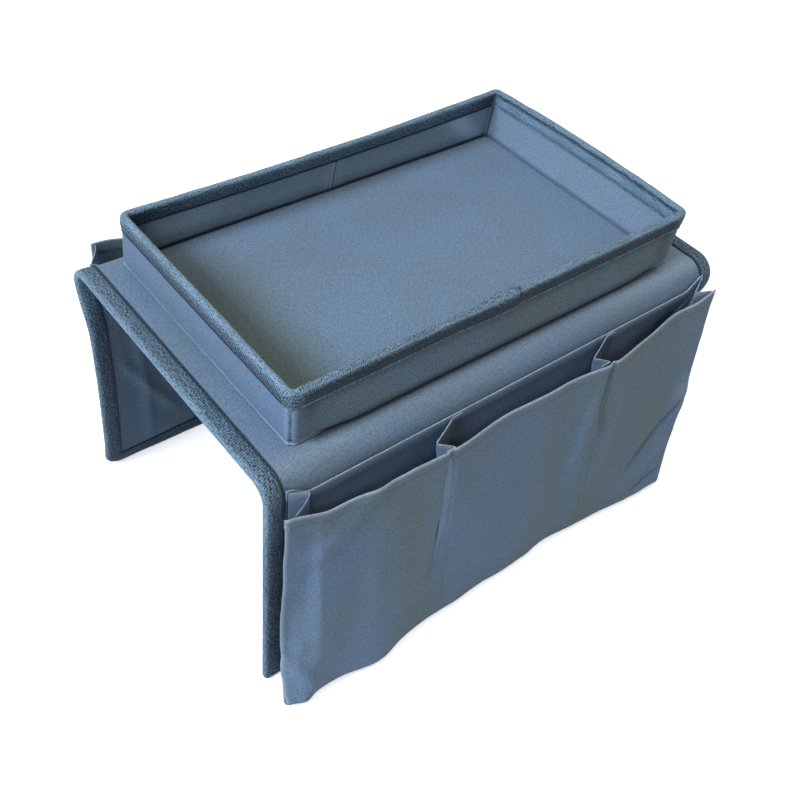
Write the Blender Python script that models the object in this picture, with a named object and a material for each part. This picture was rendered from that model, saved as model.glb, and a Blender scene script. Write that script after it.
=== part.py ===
"""Sofa armrest organizer: a tray on a saddle with two hanging flaps, each with three bellows pockets.

X runs along the sofa arm, Y across it and Z up. The origin is on the ground, midway between the flaps.
"""

import math

import bmesh
import bpy
from mathutils import Vector

MM = 0.001

# Cloth, board and tape thicknesses, and the clearance between neighbouring layers, in millimetres
CLOTH = 0.5
BOARD = 1.2
TAPE = 0.5
GAP = 0.3

# Saddle and flaps
SADDLE_LENGTH = 377.4
SADDLE_WIDTH = 224.5
SADDLE_HEIGHT = 196.0
FOLD_RADIUS = 14.0
TAPE_WIDTH = 12.4
NEAR_CORNER_RADIUS = 5.0
FAR_CORNER_RADIUS = 14.0
FOLD_STEPS = 8

# Tray: how far its base stands in from the saddle's ends and folds, and its height
TRAY_END_MARGIN = 29.7
TRAY_SIDE_MARGIN = 16.25
TRAY_HEIGHT = 40.0
TRAY_OFFSET_X = -1.5
TRAY_OFFSET_Y = 3.0
TRAY_CORNER_RADIUS = 6.0
RIM_TAPE_WIDTH = 11.5
RIM_LAP_SHARE = 0.15
RIM_LAP_LENGTH = 11.0

# How far each corner of the rim stands from the corner below it, and how far a wall's rim bows out between
RIM_SHIFTS = {"near_left": (0, 0.8), "near_right": (5.2, 0.8), "far_right": (2.5, -1.5), "far_left": (0, -4.6)}
RIM_BOWS = {"near": 0, "right": 3.5, "far": -4.0, "left": 0}
WALL_STEPS = 7

# Pocket row on each flap, with U along the flap, V out from its face and Z up
HEM_DROP = 15.0
END_HEM_DROP = 5.5
HEM_RISE_LENGTH = 16.0
FRONT_HEM_DROP = 24.0
END_FRONT_HEM_DROP = 17.0
HEM_WIDTH = 8.0
CREASE_SHIFT = 19.0
FRONT_STITCH_SHIFT = 8.0
GUSSET_DEPTH = 15.0
RIGHT_GUSSET_DEPTH = 9.5
LEFT_GUSSET_INSET = 7.0
RIGHT_GUSSET_INSET = 2.5
CREASE_FLAT = 1.4
FRONT_LEFT_INSET = 6.2
FRONT_RIGHT_INSET = 3.7
FLARE_LEFT = 5.5
DRAW_RIGHT = 19.5
KINK = 4.5
KINK_HEIGHT = 88.0
KINK_HALF_HEIGHT = 16.0
SEAM_HEIGHT = 14.0
LOWEST_CLOTH = 3.6
FOLD_LIFT = 4.0
LOWER_STANDOFF = 28.0
MOUTH_STANDOFF = 13.4
END_MOUTH_STANDOFF = 10.8
FAR_MOUTH_STANDOFF = 29.0
FAR_END_HEM_DROP = 12.0
FAR_END_INSET = 22.0

# Places of the two dividers, as shares of half the saddle's length
DIVIDER_LEFT_SHARE = -0.302
DIVIDER_RIGHT_SHARE = 0.4187

# Folds of the hanging front cloth: place along the flap, height outwards, half width
LOWER_FOLDS = ((-171, 3.5, 6), (-120, 6.5, 21), (-45, 0.6, 14), (44, -2.2, 14))
MOUTH_FOLDS = ((-66, 4.5, 30), (72, 5.5, 26), (-112, 2.0, 22), (20, 1.5, 24))
LEFT_FLARE_WIDTH = 22.0
RIGHT_FLARE = 8.5

# The right end of each flap has bent in towards the arm, less so lower down, and its lowest corner out again
CURL_DEPTH = 11.0
CURL_LENGTH = 108.7
CURL_FADE = 14.0
CURL_TOP = 42.0
CURL_EASE = 8.5
CURL_EASE_HEIGHT = 105.0
CORNER_KICK = 4.0
CORNER_KICK_HEIGHT = 35.0
CURL_STEPS = 8
FLAP_ROWS = 12

SLATE = (0.105, 0.155, 0.235)
LINING_SLATE = (0.085, 0.125, 0.19)
BINDING = (0.045, 0.085, 0.12)
GREYBOARD = (0.42, 0.39, 0.34)

# Values that follow from the ones above
SKIN = CLOTH + GAP + BOARD + GAP + CLOTH
HALF_LENGTH = SADDLE_LENGTH / 2
HALF_WIDTH = SADDLE_WIDTH / 2
AXIS_Y = HALF_WIDTH - FOLD_RADIUS
AXIS_Z = SADDLE_HEIGHT - FOLD_RADIUS
INNER_EDGE = HALF_LENGTH - TAPE_WIDTH
FLAP_BOTTOM = GAP + TAPE
BOARD_BOTTOM = FLAP_BOTTOM + TAPE_WIDTH
POCKET_HALF = INNER_EDGE - GAP
HEM_LAYER = 2 * CLOTH + GAP
TRAY_LENGTH = SADDLE_LENGTH - 2 * TRAY_END_MARGIN
TRAY_WIDTH = SADDLE_WIDTH - 2 * TRAY_SIDE_MARGIN
FRONT_LEFT = FRONT_LEFT_INSET - HALF_LENGTH
FRONT_RIGHT = HALF_LENGTH - FRONT_RIGHT_INSET
DIVIDER_LEFT = HALF_LENGTH * DIVIDER_LEFT_SHARE
DIVIDER_RIGHT = HALF_LENGTH * DIVIDER_RIGHT_SHARE
LINING_DROP = GAP + TAPE + 0.1


def material(name, colour, roughness):
    made = bpy.data.materials.new(name)
    made.use_nodes = True
    shader = made.node_tree.nodes["Principled BSDF"]
    shader.inputs["Base Color"].default_value = (*colour, 1)
    shader.inputs["Roughness"].default_value = roughness
    shader.inputs["Metallic"].default_value = 0
    made.diffuse_color = (*colour, 1)
    return made


def solid(name, points, faces, look, holder=None, smooth=False):
    """One closed body from points in millimetres, held by an empty on its joint axis if it moves."""
    mesh = bpy.data.meshes.new(name)
    mesh.from_pydata([Vector(point) * MM for point in points], [], faces)
    mesh.materials.append(look)
    shape = bmesh.new()
    shape.from_mesh(mesh)
    bmesh.ops.recalc_face_normals(shape, faces=shape.faces)
    shape.to_mesh(mesh)
    shape.free()
    for face in mesh.polygons:
        face.use_smooth = smooth
    made = bpy.data.objects.new(name, mesh)
    bpy.context.scene.collection.objects.link(made)
    if holder:
        made.parent = holder
        made.location = -world_place(holder)
    return made


def world_place(holder):
    place = holder.location.copy()
    while holder.parent:
        holder = holder.parent
        place += holder.location
    return place


def axis_empty(name, place, holder=None):
    made = bpy.data.objects.new(name, None)
    bpy.context.scene.collection.objects.link(made)
    made.location = Vector(place) * MM
    if holder:
        made.parent = holder
        made.location -= world_place(holder)
    return made


def slab(name, top, bottom, look, holder=None, smooth=False):
    """A sheet between two matching grids of points, with both its faces split along the same diagonals."""
    rows = len(top)
    columns = len(top[0])
    points = [point for row in top for point in row] + [point for row in bottom for point in row]
    below = rows * columns
    faces = []
    for row in range(rows - 1):
        for column in range(columns - 1):
            corner = row * columns + column
            across = corner + columns + 1
            for third in (corner + 1, corner + columns):
                half = (corner, third, across) if third == corner + 1 else (corner, across, third)
                faces.append(half)
                faces.append(tuple(below + index for index in reversed(half)))
    rim = [column for column in range(columns)]
    rim += [row * columns + columns - 1 for row in range(1, rows)]
    rim += [(rows - 1) * columns + column for column in range(columns - 2, -1, -1)]
    rim += [row * columns for row in range(rows - 2, 0, -1)]
    for index, corner in enumerate(rim):
        after = rim[(index + 1) % len(rim)]
        faces.append((corner, below + corner, below + after, after))
    return solid(name, points, faces, look, holder, smooth)


def sweep(name, sections, look, holder=None, closed=False, smooth=False):
    """A bar whose cross-section runs through a list of matching outlines.

    Each side is split upwards from its lower corner, so that the two faces of a thin wall stay parallel.
    """
    size = len(sections[0])
    points = [point for section in sections for point in section]
    faces = []
    for index in range(len(sections) - (0 if closed else 1)):
        here = index * size
        after = (index + 1) % len(sections) * size
        for side in range(size):
            beside = (side + 1) % size
            if points[here + side][2] <= points[here + beside][2]:
                faces.append((here + side, here + beside, after + beside))
                faces.append((here + side, after + beside, after + side))
            else:
                faces.append((here + side, here + beside, after + side))
                faces.append((here + beside, after + beside, after + side))
    if not closed:
        faces.append(tuple(range(size)))
        faces.append(tuple(range(len(points) - size, len(points))))
    return solid(name, points, faces, look, holder, smooth)


def box(name, low, high, look, holder=None):
    sections = []
    for x in (low[0], high[0]):
        sections.append([(x, low[1], low[2]), (x, high[1], low[2]), (x, high[1], high[2]), (x, low[1], high[2])])
    return sweep(name, sections, look, holder)


def thicken(grid, outward, inward):
    """Two grids, the given distances to either side of a grid of points."""
    rows = len(grid)
    columns = len(grid[0])
    front = []
    back = []
    for row in range(rows):
        front.append([])
        back.append([])
        for column in range(columns):
            along = Vector(grid[row][min(column + 1, columns - 1)]) - Vector(grid[row][max(column - 1, 0)])
            down = Vector(grid[min(row + 1, rows - 1)][column]) - Vector(grid[max(row - 1, 0)][column])
            normal = along.cross(down).normalized()
            here = Vector(grid[row][column])
            front[-1].append(here + normal * outward(row))
            back[-1].append(here - normal * inward(row))
    return front, back


def channel(edge, inside, out, layer_out, layer_in):
    """The eight corners of a folded tape, from its edge line, its inner line and the layers' two faces."""
    wall = [edge[axis] + (inside[axis] - edge[axis]) * TAPE / TAPE_WIDTH for axis in range(3)]
    far_out = layer_out + GAP + TAPE
    near_out = layer_out + GAP
    near_in = layer_in - GAP
    far_in = layer_in - GAP - TAPE

    def at(place, height):
        return tuple(place[axis] + out[axis] * height for axis in range(3))

    return [
        at(edge, far_out),
        at(inside, far_out),
        at(inside, near_out),
        at(wall, near_out),
        at(wall, near_in),
        at(inside, near_in),
        at(inside, far_in),
        at(edge, far_in),
    ]


def smooth_step(value):
    value = min(max(value, 0.0), 1.0)
    return value * value * (3 - 2 * value)


def bumps(folds, place):
    return sum(height * math.exp(-(((place - middle) / width) ** 2)) for middle, height, width in folds)


# Saddle

def saddle_layers(looks):
    reach = AXIS_Y - GAP / 2
    side = HALF_LENGTH - GAP - TAPE
    top = SADDLE_HEIGHT
    box("saddle_cover", (-side, -reach, top - CLOTH), (side, reach, top), looks["cloth"])
    board_side = INNER_EDGE - GAP
    box(
        "saddle_board",
        (-board_side, -reach, top - CLOTH - GAP - BOARD),
        (board_side, reach, top - CLOTH - GAP),
        looks["board"],
    )
    edge = INNER_EDGE - GAP
    places = ((-side, 0), (-edge, 0), (-edge + 3, 1), (edge - 3, 1), (edge, 0), (side, 0))
    upper = []
    lower = []
    for y in (-reach, reach):
        upper.append([(x, y, top - SKIN + CLOTH - LINING_DROP * hang) for x, hang in places])
        lower.append([(x, y, top - SKIN - LINING_DROP * hang) for x, hang in places])
    slab("saddle_lining", upper, lower, looks["lining"])


def saddle_tape(name, side, looks):
    sections = []
    for y in (-AXIS_Y + GAP / 2, AXIS_Y - GAP / 2):
        edge = (side * HALF_LENGTH, y, SADDLE_HEIGHT)
        inside = (side * INNER_EDGE, y, SADDLE_HEIGHT)
        sections.append(channel(edge, inside, (0, 0, 1), 0, -SKIN))
    sweep(name, sections, looks["tape"])


# Folds between the saddle and the flaps

def fold_angles():
    start = math.asin(GAP / 2 / FOLD_RADIUS)
    span = math.pi / 2 - 2 * start
    return [start + span * step / FOLD_STEPS for step in range(FOLD_STEPS + 1)]


def fold_strip(name, facing, outer, look):
    side = HALF_LENGTH - GAP - TAPE
    grids = []
    for radius in (outer, outer - CLOTH):
        grid = []
        for angle in fold_angles():
            y = facing * (AXIS_Y + radius * math.sin(angle))
            z = AXIS_Z + radius * math.cos(angle)
            grid.append([(-side, y, z), (side, y, z)])
        grids.append(grid)
    slab(name, grids[0], grids[1], look, smooth=True)


def fold_tape(name, facing, side, looks):
    sections = []
    for angle in fold_angles():
        out = (0, facing * math.sin(angle), math.cos(angle))
        y = facing * (AXIS_Y + FOLD_RADIUS * math.sin(angle))
        z = AXIS_Z + FOLD_RADIUS * math.cos(angle)
        edge = (side * HALF_LENGTH, y, z)
        inside = (side * INNER_EDGE, y, z)
        sections.append(channel(edge, inside, out, 0, -SKIN))
    sweep(name, sections, looks["tape"])


def folds(looks):
    for label, facing in (("near", -1), ("far", 1)):
        fold_strip(f"{label}_fold_cover", facing, FOLD_RADIUS, looks["cloth"])
        fold_strip(f"{label}_fold_lining", facing, FOLD_RADIUS - SKIN + CLOTH, looks["lining"])
        fold_tape(f"{label}_fold_tape_left", facing, -1, looks)
        fold_tape(f"{label}_fold_tape_right", facing, 1, looks)


# Flaps

def bent_in(u, v, z):
    """How far a place on a flap, or close in front of it, has moved in towards the arm."""
    ease = CURL_EASE * max(1 - z / CURL_EASE_HEIGHT, 0) ** 1.25
    kick = CORNER_KICK * max(1 - z / CORNER_KICK_HEIGHT, 0) ** 2
    along = smooth_step((u - HALF_LENGTH + CURL_LENGTH) / CURL_LENGTH)
    down = smooth_step((AXIS_Z - z) / CURL_TOP)
    return (CURL_DEPTH - ease - kick) * along * down * (1 - smooth_step(v / CURL_FADE))


def flap_point(facing, u, v, z):
    """A point on a flap: the far flap is the near one turned round."""
    return (-facing * u, facing * (HALF_WIDTH + v - bent_in(u, v, z)), z)


def flap_rows(low, radius):
    """Heights that a flap's layers share: round its lower corners, then ever closer up to the fold."""
    top = AXIS_Z - GAP / 2
    shares = [1 - (1 - step / FLAP_ROWS) ** 1.5 for step in range(FLAP_ROWS + 1)]
    rounded = [low + radius * (1 - math.cos(math.radians(18 * step))) for step in range(6)]
    rounded = [z for z in rounded if z < BOARD_BOTTOM - 0.5]
    return rounded + [BOARD_BOTTOM + (top - BOARD_BOTTOM) * share for share in shares]


def flap_stations(edge, half):
    """Places along a flap that its layers share, so that they bend alike."""
    inner = INNER_EDGE - GAP
    start = HALF_LENGTH - CURL_LENGTH
    right = [start + (inner - start) * step / CURL_STEPS for step in range(CURL_STEPS)]
    ends = [min(inner, half - 0.5), half] if edge > inner else [half]
    return [-u for u in reversed(ends)] + right + ends


def rounded_bottom(half, low, radius, clear):
    """The line down one side, round both corners and up the other, as U and Z."""
    heights = [z for z in reversed(flap_rows(BOARD_BOTTOM, GAP)) if z > clear]
    line = [(-half, z) for z in heights]
    for corner, begin in ((-1, 180), (1, 270)):
        for step in range(6):
            angle = math.radians(begin + 90 * step / 5)
            u = corner * (half - radius) + radius * math.cos(angle)
            line.append((u, low + radius + radius * math.sin(angle)))
        if corner < 0:
            inner = INNER_EDGE - GAP
            line += [(u, low) for u in flap_stations(inner, inner)[1:-1]]
            line.append((min(inner, half - radius - 1), low))
    return line + [(half, z) for z in reversed(heights)]


def flap_sheet(name, facing, edge, low, radius, faces_v, look, holder):
    """One flat layer of a flap, from the fold down to its rounded lower corners."""
    grids = []
    for v in faces_v:
        grid = []
        for z in reversed(flap_rows(low, radius)):
            rise = min(z - low, radius)
            half = edge - radius + math.sqrt(max(radius**2 - (radius - rise) ** 2, 0))
            grid.append([flap_point(facing, u, v, z) for u in flap_stations(edge, half)])
        grids.append(grid)
    slab(name, grids[1], grids[0], look, holder)


def flap_tape(name, facing, radius, looks, holder):
    inner_radius = max(radius - TAPE_WIDTH, 0.7)
    clear = max(radius, TAPE_WIDTH + inner_radius)
    edge_line = rounded_bottom(HALF_LENGTH, 0, radius, clear)
    inner_line = rounded_bottom(INNER_EDGE, TAPE_WIDTH, inner_radius, clear)
    sections = []
    for (u, z), (inner_u, inner_z) in zip(edge_line, inner_line):
        edge = flap_point(facing, u, 0, z)
        inside = flap_point(facing, inner_u, 0, inner_z)
        sections.append(channel(edge, inside, (0, facing, 0), 0, -SKIN))
    sweep(name, sections, looks["tape"], holder)


def flap(label, facing, radius, looks, holder):
    half = HALF_LENGTH - TAPE - GAP
    low = TAPE + GAP
    cover_radius = max(radius - TAPE - GAP, 1.0)
    flap_sheet(f"{label}_flap_cover", facing, half, low, cover_radius, (-CLOTH, 0), looks["cloth"], holder)
    back = -CLOTH - GAP
    flap_sheet(
        f"{label}_flap_board",
        facing,
        INNER_EDGE - GAP,
        BOARD_BOTTOM,
        GAP,
        (back - BOARD, back),
        looks["board"],
        holder,
    )
    flap_sheet(
        f"{label}_flap_lining", facing, half, low, cover_radius, (-SKIN, -SKIN + CLOTH), looks["lining"], holder
    )
    flap_tape(f"{label}_flap_tape", facing, radius, looks, holder)


# Pocket rows

class PocketRow:
    """The shape of one row's hanging front cloth, shared by its panels, gussets and dividers."""

    def __init__(self, facing, gaping):
        self.facing = facing
        self.gaping = gaping

    def at(self, u, v, z):
        return flap_point(self.facing, u, v, z)

    def end_share(self, u):
        """One at either end of the row, falling to nothing 30 mm in."""
        near_end = min(u - FRONT_LEFT, FRONT_RIGHT - u)
        return 1 - smooth_step(near_end / 30)

    def gape(self, u):
        return self.gaping * smooth_step((u - DIVIDER_RIGHT) / (FRONT_RIGHT - DIVIDER_RIGHT))

    def hem_height(self, u):
        drop = FRONT_HEM_DROP + (END_FRONT_HEM_DROP - FRONT_HEM_DROP) * self.end_share(u)
        drop += (FAR_END_HEM_DROP - drop) * self.gape(u)
        return SADDLE_HEIGHT - drop

    def mouth(self, u):
        reach = MOUTH_STANDOFF + bumps(MOUTH_FOLDS, u)
        reach += (END_MOUTH_STANDOFF - reach) * self.end_share(u)
        return reach + (FAR_MOUTH_STANDOFF - reach) * self.gape(u)

    def foot(self, u):
        close = 1 - smooth_step((u - FRONT_LEFT) / LEFT_FLARE_WIDTH)
        return LOWER_STANDOFF - 1.5 * close + bumps(LOWER_FOLDS, u) + RIGHT_FLARE * smooth_step((u - 50) / 125)

    def high(self, u, z):
        """Nothing at the lower fold of the front cloth and one at its hem."""
        turn = LOWEST_CLOTH + FOLD_LIFT
        share = (z - turn) / (self.hem_height(u) - turn)
        return min(max(share, 0.0), 1.0)

    def drawn(self, u, z):
        """Where a place along the cloth lies, its left end flared out at the foot and its right end drawn in."""
        high = self.high(u, z)
        left = 1 - smooth_step((u - FRONT_LEFT) / 60)
        right = 1 - smooth_step((FRONT_RIGHT - u) / 90)
        inward = DRAW_RIGHT * (1 - high) ** 0.9 + self.gaping * FAR_END_INSET * high
        inward -= KINK * math.exp(-(((z - KINK_HEIGHT) / KINK_HALF_HEIGHT) ** 2)) * right**2
        return u - left * FLARE_LEFT * (1 - high) ** 2.2 - right * inward

    def standoff(self, u, z):
        """How far the front cloth hangs out from the flap's face."""
        high = self.high(u, z)
        close = 1 - smooth_step((u - FRONT_LEFT) / LEFT_FLARE_WIDTH)
        power = 1 + 6 * close
        return self.mouth(u) + (self.foot(u) - self.mouth(u)) * (1 - high) ** power

    def underside(self, u, v):
        """The height of the bottom cloth where it runs back from the lower fold to its seam."""
        reach = self.foot(u) - 5
        share = (v - CLOTH - GAP) / (reach - CLOTH - GAP)
        return SEAM_HEIGHT - (SEAM_HEIGHT - LOWEST_CLOTH - 1) * min(max(share, 0.0), 1.0)


def front_profile(row, u):
    """One line of the front cloth from its hem down, round the lower fold and back to the seam."""
    top = row.hem_height(u)
    below = top - HEM_WIDTH - 1.5
    turn = LOWEST_CLOTH + FOLD_LIFT
    heights = [top, top - HEM_WIDTH, below]
    heights += [below - (below - turn) * step / 8 for step in range(1, 9)]
    line = [(row.drawn(u, z), row.standoff(u, z), z) for z in heights]
    low, reach, _ = line[-1]
    line.append((low, reach - 1.0, LOWEST_CLOTH + 1.5))
    line.append((low, reach - 4.0, LOWEST_CLOTH + 0.3))
    seam = CLOTH + GAP + GAP + CLOTH / 2
    sewn = max(low, GAP - POCKET_HALF)
    for share in (0.34, 0.67, 1.0):
        v = reach - 4.0 + (seam - reach + 4.0) * share
        z = LOWEST_CLOTH + 0.3 + (SEAM_HEIGHT - LOWEST_CLOTH - 0.3) * share
        line.append((low + (sewn - low) * share, v, z))
    return line


def front_panel(name, row, looks, holder):
    columns = 34
    lines = []
    for step in range(columns):
        share = step / (columns - 1)
        eased = share - 0.1 * math.sin(2 * math.pi * share) / (2 * math.pi)
        lines.append(front_profile(row, FRONT_LEFT + (FRONT_RIGHT - FRONT_LEFT) * eased))
    grid = []
    for step in range(len(lines[0])):
        grid.append([row.at(*line[step]) for line in lines])
    front, back = thicken(grid, lambda step: CLOTH / 2, lambda step: CLOTH * (1.5 if step < 2 else 0.5))
    slab(name, front, back, looks["cloth"], holder, smooth=True)


def back_hem(u):
    near_end = POCKET_HALF - abs(u)
    share = 1 - smooth_step(near_end / HEM_RISE_LENGTH)
    return SADDLE_HEIGHT - HEM_DROP - (END_HEM_DROP - HEM_DROP) * share


def back_panel(name, row, looks, holder):
    stations = flap_stations(POCKET_HALF, POCKET_HALF)
    places = [-u for u in reversed(stations[1:])] + stations[1:]
    for low, high in ((-4, -3), (-3, -2), (-2, -1)):
        places += [(stations[low] + stations[high]) / 2, -(stations[low] + stations[high]) / 2]
    places = sorted(places + [-40.0, 0.0, 40.0])
    highest = SADDLE_HEIGHT - END_HEM_DROP - HEM_WIDTH - 2
    rows = [z for z in reversed(flap_rows(BOARD_BOTTOM, GAP)) if BOARD_BOTTOM < z < highest]
    rows.append(BOARD_BOTTOM + GAP)
    front = []
    back = []
    for layer, level in ((HEM_LAYER, 0), (HEM_LAYER, HEM_WIDTH), (GAP + CLOTH, HEM_WIDTH + 1)):
        heights = [back_hem(u) - level for u in places]
        front.append([row.at(u, layer, z) for u, z in zip(places, heights)])
        back.append([row.at(u, GAP, z) for u, z in zip(places, heights)])
    for step, z in enumerate(rows):
        heights = [min(z, back_hem(u) - HEM_WIDTH - 1.8 - 0.6 * step) for u in places]
        front.append([row.at(u, GAP + CLOTH, height) for u, height in zip(places, heights)])
        back.append([row.at(u, GAP, height) for u, height in zip(places, heights)])
    slab(name, front, back, looks["cloth"], holder)


def pleat(name, row, back_u, crease_shift, reach, front_u, back_top, looks, holder):
    """A single ply from the back panel to the front cloth, folded once a share of the way across."""
    back_v = HEM_LAYER + GAP + CLOTH / 2
    back_low = row.underside(back_u, back_v) + 1.2
    rows = [z for z in flap_rows(BOARD_BOTTOM, GAP) if back_low + 4 < z < back_top - 3]
    grid = []
    for height in [back_low] + rows + [back_top]:
        share = (height - back_low) / (back_top - back_low)
        low_front = row.underside(front_u, row.foot(front_u) - 7) + 3
        high_front = row.hem_height(front_u) - 0.5
        front_z = low_front + (high_front - low_front) * share
        front_v = row.standoff(front_u, front_z) - (2.1 if share > 0.85 else 1.6)
        front_place = row.drawn(front_u, front_z)
        crease = crease_shift * (0.55 + 0.45 * share)
        middle = back_v + (front_v - back_v) * reach
        flat = min(CREASE_FLAT, 0.3 * (front_v - back_v)) / 2
        ends = (
            (back_u, back_v),
            (back_u + crease, middle - flat),
            (back_u + crease, middle + flat),
            (front_place, front_v),
        )
        line = []
        for part, split in ((0, 0), (0, 0.5), (1, 0), (1, 1), (2, 0.5), (2, 1)):
            u = ends[part][0] + (ends[part + 1][0] - ends[part][0]) * split
            v = ends[part][1] + (ends[part + 1][1] - ends[part][1]) * split
            across = (v - back_v) / max(front_v - back_v, 0.1)
            low = row.underside(u, v) + 1.2
            high = back_top + (high_front - back_top) * across
            z = low + (high - low) * share
            line.append(row.at(u, v, z))
        grid.append(line)
    front, back = thicken(grid, lambda step: CLOTH / 2, lambda step: CLOTH / 2)
    slab(name, front, back, looks["cloth"], holder, smooth=False)


def pocket_row(label, facing, gaping, looks, flap_holder, pocket_holder):
    row = PocketRow(facing, gaping)
    back_panel(f"{label}_pocket_back", row, looks, flap_holder)
    front_panel(f"{label}_pocket_front", row, looks, pocket_holder)
    end = POCKET_HALF - 1.0
    end_top = SADDLE_HEIGHT - END_HEM_DROP - 1.5
    middle_top = SADDLE_HEIGHT - HEM_DROP - 1.0
    front_u = FRONT_LEFT + LEFT_GUSSET_INSET
    pleat(f"{label}_gusset_left", row, -end, GUSSET_DEPTH, 0.35, front_u, end_top, looks, flap_holder)
    front_u = FRONT_RIGHT - RIGHT_GUSSET_INSET
    pleat(f"{label}_gusset_right", row, end, -RIGHT_GUSSET_DEPTH, 0.6, front_u, end_top, looks, flap_holder)
    for side, place in (("left", DIVIDER_LEFT), ("right", DIVIDER_RIGHT)):
        front_u = place - FRONT_STITCH_SHIFT
        pleat(f"{label}_divider_{side}", row, place, -CREASE_SHIFT, 0.55, front_u, middle_top, looks, flap_holder)


# Tray

def tray_corner(name, height, inset):
    """A corner of the tray's outline at a height, a distance in from its outside."""
    share = height / TRAY_HEIGHT
    side_x = 1 if "right" in name else -1
    side_y = 1 if "far" in name else -1
    shift_x, shift_y = RIM_SHIFTS[name]
    x = TRAY_OFFSET_X + side_x * (TRAY_LENGTH / 2 - inset) + shift_x * share
    y = TRAY_OFFSET_Y + side_y * (TRAY_WIDTH / 2 - inset) + shift_y * share
    return Vector((x, y))


WALL_CORNERS = {
    "near": ("near_left", "near_right"),
    "right": ("near_right", "far_right"),
    "far": ("far_right", "far_left"),
    "left": ("far_left", "near_left"),
}


def wall_line(wall, height, inset, trim=0):
    """The straight or bowed run of one wall between its rounded corners."""
    start, end = [tray_corner(name, height, inset) for name in WALL_CORNERS[wall]]
    way = (end - start).normalized()
    keep = max(TRAY_CORNER_RADIUS - inset, 1.2) + trim
    start = start + way * keep
    end = end - way * keep
    bow = RIM_BOWS[wall] * height / TRAY_HEIGHT
    out = Vector((way.y, -way.x))
    line = []
    for step in range(WALL_STEPS + 1):
        share = step / WALL_STEPS
        line.append(start + (end - start) * share + out * bow * 4 * share * (1 - share))
    return line


def tray_ring(height, inset, start_share, start_wall):
    """The wall's outline at a height, once round from a place in the middle stretch of the near or far wall."""
    order = list(WALL_CORNERS)
    if start_wall == "far":
        order = order[2:] + order[:2]
    runs = [wall_line(wall, height, inset) for wall in order]
    before = (WALL_STEPS + 1) // 2
    ring = runs[0][before:]
    for index, run in enumerate(runs):
        ring += run if index else []
        after = runs[(index + 1) % 4][0]
        corner = tray_corner(WALL_CORNERS[order[index]][1], height, inset)
        for share in (0.25, 0.5, 0.75):
            here = run[-1] * (1 - share) ** 2 + corner * 2 * share * (1 - share) + after * share**2
            ring.append(here)
    ring += runs[0][:before]
    start = ring[-1] + (ring[0] - ring[-1]) * start_share
    return [tuple(point) for point in [start] + ring + [start]]


def wall_section(outer, inner, low, high):
    """Once round a wall's section as insets and heights, with levels between so that a leaning wall stays true."""
    tape_edge = TRAY_HEIGHT - RIM_TAPE_WIDTH
    levels = (low, tape_edge / 2, tape_edge, high)
    return [(outer, height) for height in levels] + [(inner, height) for height in reversed(levels)]


def wall_strip(name, outer, inner, start_wall, looks):
    """A strip of cloth once round the tray, its two ends meeting edge to edge."""
    rings = []
    for inset, height in wall_section(outer, inner, GAP, TRAY_HEIGHT):
        z = SADDLE_HEIGHT + height
        ring = [(x, y, z) for x, y in tray_ring(height, inset, 0.5, start_wall)]
        way = 1 if start_wall == "near" else -1
        ring[0] = (ring[0][0] + way * GAP / 2, ring[0][1], z)
        ring[-1] = (ring[-1][0] - way * GAP / 2, ring[-1][1], z)
        rings.append(ring)
    sections = [[ring[index] for ring in rings] for index in range(len(rings[0]))]
    sweep(name, sections, looks["cloth"])


def wall_board(name, wall, looks):
    """One stiff strip inside a wall, stopping short of its rounded corners."""
    outer = CLOTH + GAP
    inner = outer + BOARD
    low = GAP + 1.0
    high = TRAY_HEIGHT - GAP
    lines = []
    for inset, height in wall_section(outer, inner, low, high):
        trim = 0.8 + inset - outer
        z = SADDLE_HEIGHT + height
        lines.append([(*point, z) for point in wall_line(wall, height, inset, trim)])
    sections = [[line[index] for line in lines] for index in range(len(lines[0]))]
    sweep(name, sections, looks["board"])


def rim_tape(looks):
    """Tape folded over the tray's rim, its last stretch lapped over its first on the near wall."""
    inner = SKIN
    top = TRAY_HEIGHT
    low = top - RIM_TAPE_WIDTH

    def station(index, extra, x_shift):
        levels = (
            (-GAP - TAPE - extra, low),
            (-GAP - TAPE - extra, top + GAP + TAPE + extra),
            (inner + GAP + TAPE + extra, top + GAP + TAPE + extra),
            (inner + GAP + TAPE + extra, low),
            (inner + GAP + extra, low),
            (inner + GAP + extra, top + GAP + extra),
            (-GAP - extra, top + GAP + extra),
            (-GAP - extra, low),
        )
        section = []
        for inset, height in levels:
            x, y = tray_ring(min(height, top), inset, RIM_LAP_SHARE, "near")[index]
            section.append((x + x_shift, y, SADDLE_HEIGHT + height))
        return section

    count = len(tray_ring(0, 0, RIM_LAP_SHARE, "near"))
    sections = [station(index, 0, 0) for index in range(count - 1)]
    rise = TAPE + GAP
    sections.append(station(count - 1, 0, -2.4))
    sections.append(station(count - 1, rise, -1.0))
    sections.append(station(count - 1, rise, RIM_LAP_LENGTH))
    sweep("tray_rim_tape", sections, looks["tape"])


def tray_floor(looks):
    base = GAP
    over = base + BOARD + GAP
    for name, inset, low, deep, look in (
        ("tray_floor_board", SKIN + 4 * GAP, base, BOARD, "board"),
        ("tray_floor", SKIN + GAP, over, CLOTH, "cloth"),
    ):
        outline = tray_ring(low, inset, 0.5, "near")[1:-1]
        sections = [[(x, y, SADDLE_HEIGHT + z) for x, y in outline] for z in (low, low + deep)]
        sweep(name, sections, looks[look])


def tray(looks):
    tray_floor(looks)
    wall_strip("tray_wall_outer", 0, CLOTH, "far", looks)
    wall_strip("tray_wall_inner", SKIN - CLOTH, SKIN, "far", looks)
    for wall in ("near", "far", "left", "right"):
        wall_board(f"tray_board_{wall}", wall, looks)
    rim_tape(looks)


def clear_scene():
    for item in list(bpy.data.objects):
        bpy.data.objects.remove(item, do_unlink=True)


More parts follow.
